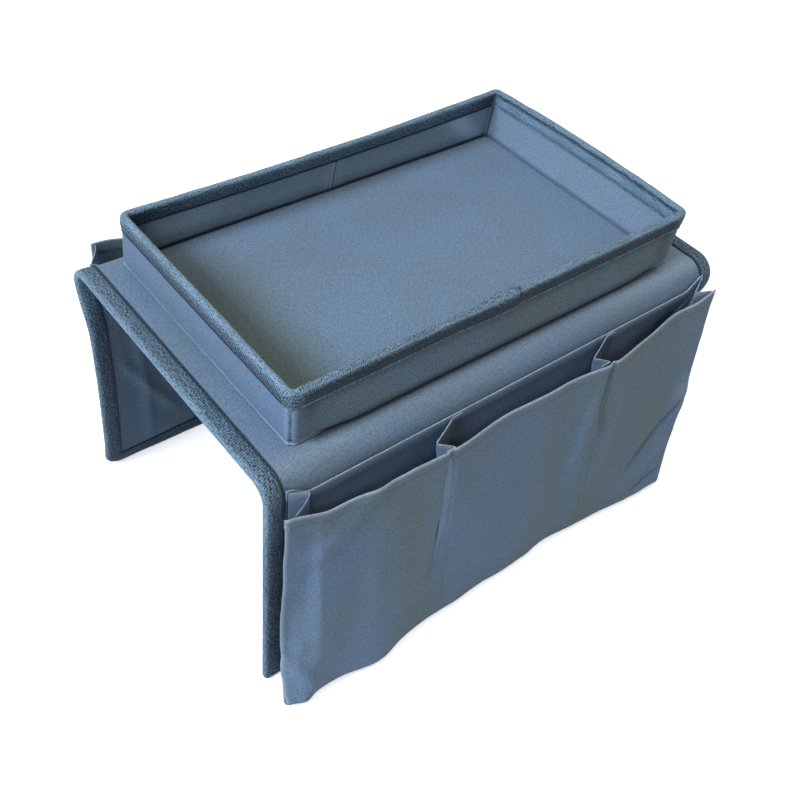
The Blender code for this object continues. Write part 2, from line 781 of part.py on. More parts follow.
def build():
    clear_scene()
    looks = {
        "cloth": material("slate_oxford", SLATE, 0.85),
        "lining": material("slate_lining", LINING_SLATE, 0.8),
        "tape": material("ribbed_binding", BINDING, 0.7),
        "board": material("grey_board", GREYBOARD, 0.9),
    }
    saddle_layers(looks)
    saddle_tape("saddle_tape_left", -1, looks)
    saddle_tape("saddle_tape_right", 1, looks)
    folds(looks)
    tray(looks)
    seam_v = CLOTH + 2 * GAP + CLOTH / 2
    for label, facing, radius, gaping in (("near", -1, NEAR_CORNER_RADIUS, 0), ("far", 1, FAR_CORNER_RADIUS, 1)):
        fold_axis = axis_empty(f"{label}_fold_axis", (0, facing * AXIS_Y, AXIS_Z))
        pocket_place = (0, facing * (HALF_WIDTH + seam_v), SEAM_HEIGHT)
        pocket_axis = axis_empty(f"{label}_pocket_axis", pocket_place, fold_axis)
        flap(label, facing, radius, looks, fold_axis)
        pocket_row(label, facing, gaping, looks, fold_axis, pocket_axis)


build()
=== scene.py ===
"""Sofa armrest organizer in slate oxford: tray, saddle, two hanging flaps and two rows of bellows pockets.

X runs along the sofa arm, Y across it and Z up. Shapes are worked out in millimetres and stored in metres.
"""

import math

import bpy
import numpy as np
from mathutils import Matrix, Vector


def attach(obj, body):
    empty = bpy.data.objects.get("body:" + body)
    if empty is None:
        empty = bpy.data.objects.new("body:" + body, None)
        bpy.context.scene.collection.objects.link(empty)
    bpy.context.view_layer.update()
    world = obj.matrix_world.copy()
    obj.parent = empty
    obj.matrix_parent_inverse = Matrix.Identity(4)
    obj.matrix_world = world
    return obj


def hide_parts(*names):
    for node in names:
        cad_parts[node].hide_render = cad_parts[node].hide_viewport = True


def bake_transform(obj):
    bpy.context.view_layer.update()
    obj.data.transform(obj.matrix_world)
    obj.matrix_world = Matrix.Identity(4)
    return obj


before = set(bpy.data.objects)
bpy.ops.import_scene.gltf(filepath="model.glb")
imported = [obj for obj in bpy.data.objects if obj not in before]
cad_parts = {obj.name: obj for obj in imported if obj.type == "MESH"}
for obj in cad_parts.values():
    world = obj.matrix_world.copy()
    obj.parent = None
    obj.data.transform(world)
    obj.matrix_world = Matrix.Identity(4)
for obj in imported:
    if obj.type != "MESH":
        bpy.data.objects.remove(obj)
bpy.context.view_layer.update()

# Camera: stands over the near left corner and looks down across the tray, as the photograph does

CAMERA_PLACE = (-0.367758, -0.385159, 0.601647)
CAMERA_RIGHT = (0.77866511, -0.61942948, 0.09993879)
CAMERA_UP = (0.38907565, 0.60164517, 0.69759818)
CAMERA_BACK = (-0.49224057, -0.50431162, 0.70948503)
CAMERA_LENS = 44.384


def placed(name, data):
    """An object in the scene, of a camera, a lamp or a mesh."""
    made = bpy.data.objects.new(name, data)
    bpy.context.scene.collection.objects.link(made)
    return made


camera_data = bpy.data.cameras.new("camera")
camera_data.sensor_width = 36
camera_data.lens = CAMERA_LENS
camera_data.clip_start = 0.01
camera_data.clip_end = 50
camera = placed("camera", camera_data)
turned = Matrix((CAMERA_RIGHT, CAMERA_UP, CAMERA_BACK)).transposed().to_4x4()
camera.matrix_world = Matrix.Translation(CAMERA_PLACE) @ turned
bpy.context.scene.camera = camera
bpy.context.scene.view_settings.view_transform = "Standard"

# Studio: a white floor that keeps the object's shadow, five large soft lamps, and a dim pale surround. The
# key lamp, high on the left, is much the strongest. The others fill the front, right, top and back.

FLOOR_BOUNCE = "#e4e6ea"
FLOOR_SEEN = "#fbfbfb"
FLOOR_GLOW = 0.62
FLOOR_REACH = 4
SURROUND = "#e8f0ff"
SURROUND_STRENGTH = 0.05
# Each lamp's name, place, the height it is aimed at, its width in metres, its power and its colour
LAMPS = (
    ("key_lamp", (-2.0, 0.15, 1.75), 0.15, 0.8, 55, "#e4f0ff"),
    ("front_lamp", (-1.6, -1.2, 1.75), 0.15, 0.8, 12.5, "#e4f0ff"),
    ("side_lamp", (1.9, -1.1, 1.5), 0.15, 1.2, 8, "#fff8ee"),
    ("top_lamp", (0.0, -0.2, 2.6), 0.15, 1.4, 19, "#fff2de"),
    ("back_lamp", (0.9, 2.2, 1.3), 0.1, 1.2, 14, "#f4f6ff"),
)


def linear(code):
    """An sRGB hex colour as linear red, green and blue, opaque."""
    parts = [int(code[place:place + 2], 16) / 255 for place in (1, 3, 5)]
    return (*[part / 12.92 if part <= 0.04045 else ((part + 0.055) / 1.055) ** 2.4 for part in parts], 1)


def plug(tree, node, inputs):
    """Set or link a node's inputs. Another node stands for its own first output in use."""
    for key, value in dict(inputs).items():
        if isinstance(value, bpy.types.Node):
            value = next(output for output in value.outputs if output.enabled)
        if isinstance(value, bpy.types.NodeSocket):
            tree.links.new(value, node.inputs[key])
        else:
            node.inputs[key].default_value = value
    return node


def add(tree, kind, inputs=(), **settings):
    """One node with its settings, and a value or a link for each input named. A shader node's KIND leaves out
    its first part, ShaderNode."""
    made = tree.nodes.new(kind if "Node" in kind else f"ShaderNode{kind}")
    for key, value in settings.items():
        setattr(made, key, value)
    return plug(tree, made, inputs)


def new_look(name):
    """A new material, with its node tree and its shader."""
    made = bpy.data.materials.new(name)
    made.use_nodes = True
    return made, made.node_tree, made.node_tree.nodes["Principled BSDF"]


floor_look, tree, shader = new_look("painted_floor")
rays = add(tree, "LightPath").outputs
seen = add(tree, "Math", {0: rays["Is Camera Ray"], 1: rays["Is Glossy Ray"]}, operation="MAXIMUM")
tone = add(tree, "Mix", {0: seen, 6: linear(FLOOR_BOUNCE), 7: linear(FLOOR_SEEN)}, data_type="RGBA")
glow = add(tree, "Math", {0: rays["Is Camera Ray"], 1: FLOOR_GLOW}, operation="MULTIPLY")
plug(tree, shader, {"Base Color": tone, "Emission Color": linear(FLOOR_SEEN), "Emission Strength": glow,
                    "Roughness": 0.9, "Specular IOR Level": 0.1})
floor_mesh = bpy.data.meshes.new("floor")
ends = (-FLOOR_REACH, FLOOR_REACH)
floor_mesh.from_pydata([(x, y, 0) for y in ends for x in ends], [], [(0, 1, 3, 2)])
floor_mesh.materials.append(floor_look)
placed("floor", floor_mesh)

world = bpy.data.worlds.new("surround")
bpy.context.scene.world = world
world.use_nodes = True
tree = world.node_tree
rays = add(tree, "LightPath").outputs
tone = add(tree, "Mix", {0: rays["Is Camera Ray"], 6: linear(SURROUND), 7: linear("#ffffff")},
           data_type="RGBA")
level = add(tree, "Mix", {0: rays["Is Camera Ray"], 2: SURROUND_STRENGTH, 3: 1.0})
plug(tree, tree.nodes["Background"], {"Color": tone, "Strength": level})

for name, place, aim, size, power, colour in LAMPS:
    lamp = bpy.data.lights.new(name, "AREA")
    lamp.shape = "SQUARE"
    lamp.size = size
    lamp.energy = power
    lamp.color = linear(colour)[:3]
    made = placed(name, lamp)
    made.location = place
    made.rotation_euler = (Vector((0, 0, aim)) - Vector(place)).to_track_quat("-Z", "Y").to_euler()

# Saddle cover: plain woven slate oxford, laid flat over the stiffener across the top of the arm. Its middle
# is hidden under the tray, and a strip of it shows all round.

SADDLE_LENGTH = 377.4
SADDLE_WIDTH = 224.5
SADDLE_HEIGHT = 196.0
FOLD_RADIUS = 14.0
CLOTH = 0.5
BOARD = 1.2
TAPE = 0.5
GAP = 0.3
SKIN = 2 * CLOTH + BOARD + 2 * GAP
HALF_LENGTH = SADDLE_LENGTH / 2
HALF_WIDTH = SADDLE_WIDTH / 2
AXIS_Y = HALF_WIDTH - FOLD_RADIUS
AXIS_Z = SADDLE_HEIGHT - FOLD_RADIUS
TAPE_WIDTH = 12.4
EDGE_INSET = 0.8
SADDLE_REACH = 92.0
THREAD_PITCH = 1.05
TWILL_PITCH = 2.1
# The dark blue that painted shade turns the oxford towards
CREASE_SHADE = "#0c1a28"


def smooth(value):
    value = np.clip(value, 0.0, 1.0)
    return value * value * (3 - 2 * value)


def bump(value, middle, width):
    """1 at the middle, fading to nothing at about twice the width to either side."""
    return np.exp(-(((value - middle) / width) ** 2))


def ripple(a, b, size, seed):
    """Smooth unevenness between -1 and 1 over a sheet, in waves about SIZE millimetres long."""
    table = np.random.default_rng(seed).uniform(-1, 1, (61, 61))
    a = np.asarray(a) / size + 200
    b = np.asarray(b) / size + 200
    i = np.floor(a).astype(int)
    j = np.floor(b).astype(int)
    s = smooth(a - i)
    t = smooth(b - j)
    near = table[i % 61, j % 61] * (1 - s) + table[(i + 1) % 61, j % 61] * s
    far = table[i % 61, (j + 1) % 61] * (1 - s) + table[(i + 1) % 61, (j + 1) % 61] * s
    return near * (1 - t) + far * t


def creases(lines, a, b):
    """Folds along straight lines on a sheet, each from one place to another with a height and half width."""
    total = np.zeros(np.broadcast(a, b).shape)
    for (a0, b0), (a1, b1), height, width in lines:
        way_a, way_b = a1 - a0, b1 - b0
        length = math.hypot(way_a, way_b)
        along = ((a - a0) * way_a + (b - b0) * way_b) / length**2
        off = ((a - a0) * way_b - (b - b0) * way_a) / length
        fade = smooth((along + 0.18) / 0.36) * smooth((1.18 - along) / 0.36)
        total = total + height * bump(off, 0, width) * fade
    return total


def oxford(name, dark, light, olive, blue, worn, rough):
    """Solution-dyed polyester oxford: a matt plain weave, heathered by mixed threads. It drifts slowly
    between olive and blue, turns pale with its wear and painted highlights, and dark with painted shade."""
    made, tree, shader = new_look(name)
    place = add(tree, "UVMap", uv_map="cloth")
    # The real threads are 0.5 mm apart; they are drawn twice as coarse, so that the weave shows
    threads = add(tree, "Mapping", {0: place, 1: (0, 0, 0.5), 3: (1000 / THREAD_PITCH,) * 2 + (1,)})
    split = add(tree, "SeparateXYZ", {0: threads})
    crowns = []
    for axis in (0, 1):
        turn = add(tree, "Math", {0: split.outputs[axis], 1: math.pi}, operation="MULTIPLY")
        wave = add(tree, "Math", {0: turn}, operation="SINE")
        crowns.append(add(tree, "Math", {0: wave}, operation="ABSOLUTE"))
    over = add(tree, "TexChecker", {0: threads, 3: 1.0}).outputs[1]
    weave = add(tree, "Mix", {0: over, 2: crowns[0], 3: crowns[1]})
    slubs = []
    for scale in ((950, 300, 1), (300, 950, 1)):
        run = add(tree, "Mapping", {0: place, 3: scale})
        slubs.append(add(tree, "TexNoise", {0: run, "Scale": 1.0, "Detail": 1.0}))
    slub = add(tree, "Mix", {0: over, 2: slubs[0], 3: slubs[1]})
    fleck = add(tree, "TexNoise", {0: place, "Scale": 900.0, "Detail": 1.5, "Roughness": 0.5})
    heather = add(tree, "Math", {0: slub, 1: fleck}, operation="ADD")
    lift = add(tree, "MapRange", {0: weave, 1: 0.0, 2: 1.0, 3: -0.16, 4: 0.08})
    heather = add(tree, "Math", {0: heather, 1: lift}, operation="ADD")
    lean = add(tree, "VectorMath", {0: place, 1: (2 * math.pi / TWILL_PITCH * 1000,) * 2 + (0,)},
               operation="DOT_PRODUCT")
    lean = add(tree, "Math", {0: lean}, operation="SINE")
    heather = add(tree, "Math", {0: lean, 1: 0.09, 2: heather}, operation="MULTIPLY_ADD")
    share = add(tree, "MapRange", {0: heather, 1: 0.7, 2: 1.22})
    colour = add(tree, "Mix", {0: share, 6: linear(dark), 7: linear(light)}, data_type="RGBA")
    cloud = add(tree, "TexNoise", {0: place, "Scale": 16.0, "Detail": 3.0, "Roughness": 0.6})
    cloud = add(tree, "MapRange", {0: cloud, 1: 0.36, 2: 0.64})
    told = {label: add(tree, "Attribute", attribute_name=label).outputs["Fac"]
            for label in ("olive", "wear_and_highlight", "painted_shade")}
    drift = add(tree, "Mix", {0: 0.62, 2: cloud, 3: told["olive"]})
    drift = add(tree, "Mix", {0: drift, 6: linear(blue), 7: linear(olive)}, data_type="RGBA")
    colour = add(tree, "Mix", {0: 1.0, 6: colour, 7: drift}, data_type="RGBA", blend_type="MULTIPLY")
    # Wear and painted highlights turn it towards the worn colour in flecks, painted shade towards
    # CREASE_SHADE
    patchy = add(tree, "MapRange", {0: fleck, 1: 0.3, 2: 0.6, 3: 0.55})
    rub = add(tree, "Math", {0: told["wear_and_highlight"], 1: patchy}, operation="MULTIPLY")
    dusk = add(tree, "MapRange", {0: told["painted_shade"], 3: 0.0, 4: 0.86})
    for share, tint in ((rub, worn), (dusk, CREASE_SHADE)):
        colour = add(tree, "Mix", {0: share, 6: colour, 7: linear(tint)}, data_type="RGBA")
    soft = add(tree, "TexNoise", {0: place, "Scale": 85.0, "Detail": 3.0})
    puckers = add(tree, "Bump", {"Strength": 0.45, "Distance": 0.0007, "Height": soft})
    relief = add(tree, "Bump", {"Strength": 0.55, "Distance": 0.00028, "Height": weave, "Normal": puckers})
    matt = add(tree, "MapRange", {0: slub, 1: 0.3, 2: 0.7, 3: rough - 0.08, 4: rough + 0.06})
    plug(tree, shader, {"Base Color": colour, "Roughness": matt, "Normal": relief, "Specular IOR Level": 0.25,
                        "Sheen Weight": 0.12, "Sheen Roughness": 0.45})
    return made


SLATE_OXFORD = oxford("slate_oxford_cloth", "#62788f", "#8ba2ba", "#eae7cc", "#ecf3ff", "#b9cbdb", 0.86)


def keep_shape(name, points, faces, look, flat=None, levels=(), sharp=52):
    """A mesh in metres from points in millimetres, with flat cloth coordinates and levels at its points."""
    mesh = bpy.data.meshes.new(name)
    mesh.from_pydata(points * 0.001, [], faces)
    mesh.materials.append(look)
    if flat is not None:
        corners = np.empty(len(mesh.loops), int)
        mesh.loops.foreach_get("vertex_index", corners)
        layer = mesh.uv_layers.new(name="cloth")
        layer.data.foreach_set("uv", (flat[corners] * 0.001).astype(np.float32).ravel())
    for label, values in dict(levels).items():
        made = mesh.attributes.new(label, "FLOAT", "POINT")
        made.data.foreach_set("value", np.asarray(values, np.float32).ravel())
    mesh.polygons.foreach_set("use_smooth", [True] * len(mesh.polygons))
    mesh.set_sharp_from_angle(angle=math.radians(sharp))
    return placed(name, mesh)


def quads(rows, columns):
    """The faces of a grid of points, as indices."""
    corner = np.arange(rows - 1)[:, None] * columns + np.arange(columns - 1)
    return np.stack([corner, corner + 1, corner + columns + 1, corner + columns], -1).reshape(-1, 4)


def cloth_piece(name, middle, flat, look, wear_and_highlight=0.0, olive=0.3, painted_shade=0.0):
    """One ply of cloth with its thickness, from the grid of its middle surface and its flat coordinates."""
    rows, columns = middle.shape[:2]
    normal = np.cross(np.gradient(middle, axis=1), np.gradient(middle, axis=0))
    normal /= np.maximum(np.linalg.norm(normal, axis=-1, keepdims=True), 1e-9)
    points = np.concatenate([(middle + side * normal * CLOTH / 2).reshape(-1, 3) for side in (1, -1)])
    face = quads(rows, columns)
    below = rows * columns
    ring = [*range(columns)]
    ring += [row * columns + columns - 1 for row in range(1, rows)]
    ring += [below - 1 - step for step in range(1, columns)]
    ring += [row * columns for row in range(rows - 2, 0, -1)]
    ring = np.array(ring)
    after = np.roll(ring, -1)
    edge = np.stack([ring, ring + below, after + below, after], -1)
    faces = np.concatenate([face[:, ::-1], face + below, edge]).tolist()
    flat = np.concatenate([np.stack(np.broadcast_arrays(*flat), -1).reshape(-1, 2)] * 2)
    # Levels at its points: wear and painted highlights, an olive tint, and painted shade
    levels = {label: np.concatenate([np.broadcast_to(level, (rows, columns)).ravel()] * 2)
              for label, level in (("wear_and_highlight", wear_and_highlight), ("olive", olive), ("painted_shade", painted_shade))}
    return keep_shape(name, points, faces, look, flat, levels)


def declare(piece, body, nodes=()):
    """Attach the piece to its body and hide the nodes it stands for. BODY is one name, or two names and the
    places where the piece leaves the first and reaches the second; such a piece is left where it stands."""
    if isinstance(body, str):
        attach(piece, body)
    else:
        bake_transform(piece)
    if nodes:
        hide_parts(*nodes)


along_arm = np.linspace(EDGE_INSET - HALF_LENGTH, HALF_LENGTH - EDGE_INSET, 110)
x, y = np.meshgrid(along_arm, np.linspace(-SADDLE_REACH, SADDLE_REACH, 56))
inside = smooth((SADDLE_REACH - np.abs(y)) / 14) * smooth((HALF_LENGTH - TAPE_WIDTH - np.abs(x)) / 5)
z = SADDLE_HEIGHT - CLOTH / 2 + 0.28 * inside * (ripple(x, y, 17, 1) - 0.4)
# Its right part has a painted highlight, where more light falls on it
saddle_cloth = cloth_piece("saddle_cloth", np.stack([x, y, z], -1), (x, y), SLATE_OXFORD,
                           0.3 * smooth((x - 120) / 60))
declare(saddle_cloth, "saddle",
        ["saddle_cover"])

# Flap covers: the same cloth runs on over the two rounded folds of the arm and hangs to the bottom edges.
# Past the fold it follows the flap, whose right end has bent in towards the arm.

FOLD_LENGTH = FOLD_RADIUS * math.pi / 2
FLAP_END = FOLD_LENGTH + AXIS_Z
FLAP_START = SADDLE_REACH - AXIS_Y
# Each side's name, which way it faces, and the radius of its flap's lower corners
SIDES = (("near", -1, 5.0), ("far", 1, 14.0))
BENT_IN = 11.0
BENT_LENGTH = 108.7


def bent_in(u, z, v=0.0):
    """How far a flap's right end has bent in towards the arm. It has bent in less low down."""
    ease = 8.5 * np.maximum(1 - z / 105, 0) ** 1.25
    kick = 4.0 * np.maximum(1 - z / 35, 0) ** 2
    fade = smooth((u - HALF_LENGTH + BENT_LENGTH) / BENT_LENGTH) * smooth((AXIS_Z - z) / 42)
    return (BENT_IN - ease - kick) * fade * (1 - smooth(v / 14))


def wrap(facing, u, w, n):
    """A place on the folded skin: U along the arm, W across it past the fold's start, N out from its face."""
    u, w, n = np.broadcast_arrays(u, w, n)
    bend = np.clip(w, 0, FOLD_LENGTH) / FOLD_RADIUS
    y = AXIS_Y + np.minimum(w, 0) + (FOLD_RADIUS + n) * np.sin(bend)
    z = AXIS_Z + (FOLD_RADIUS + n) * np.cos(bend) - np.maximum(w - FOLD_LENGTH, 0)
    y = y - bent_in(u, z) * (w > FOLD_LENGTH)
    return np.stack([-facing * u, facing * y, z], -1)


def skin_grid(radius, columns=112, rows=78):
    """Flat coordinates of one ply that stops short of the flap's three edges and rounds its two corners."""
    w = np.linspace(FLAP_START, FLAP_END - EDGE_INSET, rows)[:, None]
    turn = max(radius - EDGE_INSET, 1.0)
    into = np.clip(w - (FLAP_END - EDGE_INSET - turn), 0, turn)
    half = HALF_LENGTH - EDGE_INSET - turn + np.sqrt(turn**2 - into**2)
    return np.linspace(-1, 1, columns)[None, :] * half, np.broadcast_to(w, (rows, columns))


def over_fold(side, facing):
    """The two bodies that cloth over a fold rides on, and the places where the fold starts and ends."""
    start = (0, facing * AXIS_Y * 0.001, SADDLE_HEIGHT * 0.001)
    return "saddle", f"{side}_flap", start, (0, facing * HALF_WIDTH * 0.001, AXIS_Z * 0.001)


for side, facing, radius in SIDES:
    u, w = skin_grid(radius)
    inside = smooth((HALF_LENGTH - TAPE_WIDTH - np.abs(u)) / 6) * smooth((w - FLAP_START) / 10)
    loose = inside * smooth((FLAP_END - TAPE_WIDTH - w) / 8)
    n = -CLOTH / 2 + loose * (0.22 * ripple(u, w, 15, 3) + 0.12 * ripple(u, w, 6, 4) - 0.18)
    # Only the near fold takes the light: it has a painted highlight along its crest, and painted shade by the
    # tray's foot
    shown = side == "near"
    wear_and_highlight = shown * (0.22 * smooth((u - 40) / 120) * (1 - smooth((w - 4) / 10)) + 0.16 * bump(w, 3, 6))
    foot_shade = shown * 0.8 * (1 - smooth((w + 2.8) / 3.6)) * smooth((152 - np.abs(u)) / 12)
    cover = cloth_piece(f"{side}_flap_cloth", wrap(facing, u, w, n), (u, w), SLATE_OXFORD, wear_and_highlight,
                        painted_shade=foot_shade)
    declare(cover, over_fold(side, facing),
            [f"{side}_flap_cover", f"{side}_fold_cover"])

# Linings: a darker, thinner cloth closes the underside of the saddle and the inside of each flap. It isn't
# glued down, so it stands off in soft upright folds between the bindings.

LINING_HANG = 0.9
LINING_CLOTH = oxford("slate_lining_cloth", "#42566a", "#71869a", "#dfe2d2", "#f2f6fb", "#8ea0ad", 0.7)
LINING_FOLDS = (
    ((-150, 40), (-146, 190), 2.6, 6), ((-118, 60), (-124, 200), 2.4, 8), ((-70, 30), (-82, 170), 2.6, 10),
    ((-22, 50), (-14, 195), 2.8, 7), ((34, 40), (28, 160), 2.2, 9), ((82, 60), (90, 200), 3.0, 7),
    ((128, 34), (112, 150), 3.6, 6), ((156, 60), (150, 195), 3.4, 5), ((126, 170), (168, 96), 2.8, 4),
    ((100, 110), (140, 60), 2.2, 5), ((140, 190), (100, 140), 2.0, 5),
)

hang = smooth((HALF_LENGTH - TAPE_WIDTH - np.abs(x)) / 6) * smooth((SADDLE_REACH - np.abs(y)) / 12)
z = SADDLE_HEIGHT - SKIN + CLOTH / 2 - hang * LINING_HANG * (0.55 + 0.35 * ripple(x, y, 24, 7))
saddle_underside = cloth_piece("saddle_underside", np.stack([x, y, z], -1), (x, y), LINING_CLOTH)
declare(saddle_underside, "saddle",
        ["saddle_lining"])

for side, facing, radius in SIDES:
    u, w = skin_grid(radius, 150, 90)
    free = smooth((HALF_LENGTH - TAPE_WIDTH - np.abs(u)) / 7) * smooth((FLAP_END - TAPE_WIDTH - w) / 8)
    free = free * smooth((w - FOLD_LENGTH) / 18)
    slack = 0.5 + 0.35 * ripple(u, w, 26, 9) + 0.2 * ripple(u, w, 9, 10) + creases(LINING_FOLDS, u, w)
    n = -SKIN + CLOTH / 2 - free * np.maximum(slack, 0)
    lining = cloth_piece(f"{side}_flap_lining_cloth", wrap(facing, u, w, n), (u, w), LINING_CLOTH)
    declare(lining, over_fold(side, facing),
            [f"{side}_flap_lining", f"{side}_fold_lining"])

# Stiffeners: grey board between the cloths. Only the solids' own cut edges could ever be seen, at a gap.

board_look, tree, shader = new_look("grey_chipboard")
place = add(tree, "TexCoord").outputs["Object"]
pulp = add(tree, "TexNoise", {0: place, "Scale": 900.0, "Detail": 4.0})
share = add(tree, "MapRange", {0: pulp, 1: 0.3, 2: 0.7})
tone = add(tree, "Mix", {0: share, 6: linear("#8d877b"), 7: linear("#b4ae9f")}, data_type="RGBA")
relief = add(tree, "Bump", {"Strength": 0.3, "Distance": 0.0001, "Height": pulp})
plug(tree, shader, {"Base Color": tone, "Normal": relief, "Roughness": 0.92})
for name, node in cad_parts.items():
    if "board" in name:
        node.data.materials.clear()
        node.data.materials.append(board_look)

# Edge bindings: ribbed grosgrain tape, folded over all three plies and sewn through near its inner edges.
# Its ribs cross the tape at a slant, and the fold at the outer edge stands a little proud.

SADDLE_RIBS = 122
RIB_PITCH = 2 * SADDLE_REACH / SADDLE_RIBS
RIB_STEPS = 5
RIB_STEP = RIB_PITCH / RIB_STEPS
RIB_HEIGHT = 0.1
RIB_SLANT = -0.35
DASH_LENGTH = 1.7
GROOVE = 10.9
GROOVE_FACES = (0.62, -3.42)
TAPE_MIDDLE = 6.0
# Round the folded tape: distance in from its outer edge, height above the cover's face, share of full ribs
TAPE_SECTION = np.array((
    (12.4, 0.3, 0.4), (12.35, 0.8, 0.7), (11.6, 0.78, 0.9), (10.9, 0.42, 0.1), (10.2, 0.8, 1), (8.2, 1.08, 1),
    (5.5, 1.2, 1), (3.0, 1.15, 1), (1.3, 0.85, 1), (0.35, 0.1, 1), (0.1, -1.4, 1), (0.35, -2.9, 1),
    (1.3, -3.65, 1), (3.0, -3.95, 1), (5.5, -4.0, 1), (8.2, -3.88, 1), (10.2, -3.6, 1), (10.9, -3.22, 0.1),
    (11.6, -3.58, 0.9), (12.35, -3.56, 0.3), (12.4, -3.1, 0), (8.0, -3.1, 0), (2.0, -3.1, 0), (0.85, -2.7, 0),
    (0.85, -0.1, 0), (2.0, 0.3, 0), (8.0, 0.3, 0),
))
INSET, FACE_HEIGHT, RIB_SHARE = TAPE_SECTION.T
# 1 on the face that shows, -1 on the face behind, and 0 where the tape turns round its outer edge
FACING_OUT = np.sign(FACE_HEIGHT + 1.4)


def new_growth(name, sizes):
    """A node group that makes something of a shape, with an input for each size, and its inputs."""
    group = bpy.data.node_groups.new(name, "GeometryNodeTree")
    kinds = {"Geometry": "Geometry", **{label: "Float" for label in sizes}, "Finish": "Material"}
    for label, kind in kinds.items():
        group.interface.new_socket(name=label, in_out="INPUT", socket_type=f"NodeSocket{kind}")
    group.interface.new_socket(name="Geometry", in_out="OUTPUT", socket_type="NodeSocketGeometry")
    return group, group.nodes.new("NodeGroupInput").outputs


def end_growth(group, given, shape):
    """Hand on a node group's shape as real geometry in its finish."""
    whole = add(group, "GeometryNodeRealizeInstances", {0: shape})
    add(group, "NodeGroupOutput", {0: add(group, "GeometryNodeSetMaterial",
                                          {"Geometry": whole, "Material": given["Finish"]})})


ribs, given = new_growth("tape_ribs", ("Rib Spacing", "Rib Height", "Rib Slant"))
told = {label: add(ribs, "GeometryNodeInputNamedAttribute", {"Name": label}, data_type="FLOAT")
        for label in ("along", "across", "ribbed")}
slanted = add(ribs, "Math", {0: told["across"], 1: given["Rib Slant"], 2: told["along"]},
              operation="MULTIPLY_ADD")
count = add(ribs, "Math", {0: slanted, 1: given["Rib Spacing"]}, operation="DIVIDE")
turn = add(ribs, "Math", {0: count, 1: 2 * math.pi}, operation="MULTIPLY")
tall = add(ribs, "Math", {0: turn}, operation="SINE")
for share in (given["Rib Height"], told["ribbed"]):
    tall = add(ribs, "Math", {0: tall, 1: share}, operation="MULTIPLY")
normal = add(ribs, "GeometryNodeInputNormal")
out = add(ribs, "VectorMath", {0: normal, "Scale": tall}, operation="SCALE")
end_growth(ribs, given, add(ribs, "GeometryNodeSetPosition", {"Geometry": given["Geometry"], "Offset": out}))


def grown(seed_object, group, values):
    """The plain mesh that a node group makes of an object, in the object's place."""
    modifier = seed_object.modifiers.new("growth", "NODES")
    modifier.node_group = group
    sockets = {item.name: item.identifier for item in group.interface.items_tree if item.in_out == "INPUT"}
    for label, value in values.items():
        modifier[sockets[label]] = value
    bpy.context.view_layer.update()
    graph = bpy.context.evaluated_depsgraph_get()
    mesh = bpy.data.meshes.new_from_object(seed_object.evaluated_get(graph), preserve_all_data_layers=True,
                                           depsgraph=graph)
    seed_object.modifiers.remove(modifier)
    old = seed_object.data
    seed_object.data = mesh
    bpy.data.meshes.remove(old)
    mesh.name = seed_object.name
    return seed_object


# Grosgrain is woven of fine pale and dark yarns, so each rib is broken into dashes, and its crests are
# paler than its hollows
GROSGRAIN, tree, shader = new_look("ribbed_grosgrain")
told = {label: add(tree, "Attribute", attribute_name=label).outputs["Fac"]
        for label in ("along", "across", "bright", "ribbed")}
slanted = add(tree, "Math", {0: told["across"], 1: RIB_SLANT, 2: told["along"]}, operation="MULTIPLY_ADD")
turn = add(tree, "Math", {0: slanted, 1: 2 * math.pi / RIB_PITCH}, operation="MULTIPLY")
wave = add(tree, "Math", {0: turn}, operation="SINE")
uneven = add(tree, "CombineXYZ", {0: told["along"], 1: told["across"]})
worn = add(tree, "TexNoise", {0: uneven, "Scale": 0.9, "Detail": 2.0})
fade = add(tree, "TexNoise", {0: uneven, "Scale": 0.05, "Detail": 2.0})
step = add(tree, "Math", {0: slanted, 1: 1 / RIB_PITCH}, operation="MULTIPLY")
rib = add(tree, "Math", {0: step}, operation="FLOOR")
dash = add(tree, "Math", {0: told["across"], 1: 1 / DASH_LENGTH}, operation="MULTIPLY")
cell = add(tree, "CombineXYZ", {0: rib, 1: dash})
dash = add(tree, "TexNoise", {0: cell, "Scale": 1.0, "Detail": 0.0})
worn = add(tree, "Math", {0: worn, 1: 1.7, 2: -0.35}, operation="MULTIPLY_ADD")
crest = add(tree, "Math", {0: wave, 1: 0.17, 2: worn}, operation="MULTIPLY_ADD")
# Painted light and shade along the tape raise or lower its tone
crest = add(tree, "Math", {0: crest, 1: told["bright"]}, operation="ADD")
crest = add(tree, "Math", {0: dash, 1: 0.9, 2: crest}, operation="MULTIPLY_ADD")
share = add(tree, "MapRange", {0: crest, 1: 0.66, 2: 1.5})
tone = add(tree, "Mix", {0: share, 6: linear("#152b3d"), 7: linear("#8dabc2")}, data_type="RGBA")
# Painted shade where the ribs are low: in the stitch groove and at the tape's inner edges
groove_shade = add(tree, "MapRange", {0: told["ribbed"], 1: 0.2, 2: 0.85, 3: 0.45, 4: 1.0})
colour = add(tree, "VectorMath", {0: tone, "Scale": groove_shade}, operation="SCALE")
shift = add(tree, "MapRange", {0: fade, 1: 0.35, 2: 0.65, 3: 0.0, 4: 0.6})
tone = add(tree, "Mix", {0: shift, 6: colour, 7: linear("#c9d6cf")}, data_type="RGBA",
           blend_type="MULTIPLY")
relief = add(tree, "Bump", {"Strength": 0.5, "Distance": 0.00018, "Height": crest})
gloss = add(tree, "MapRange", {0: wave, 1: -1.0, 2: 1.0, 3: 0.78, 4: 0.58})
plug(tree, shader, {"Base Color": tone, "Normal": relief, "Roughness": gloss, "Specular IOR Level": 0.4,
                    "Sheen Weight": 0.1})


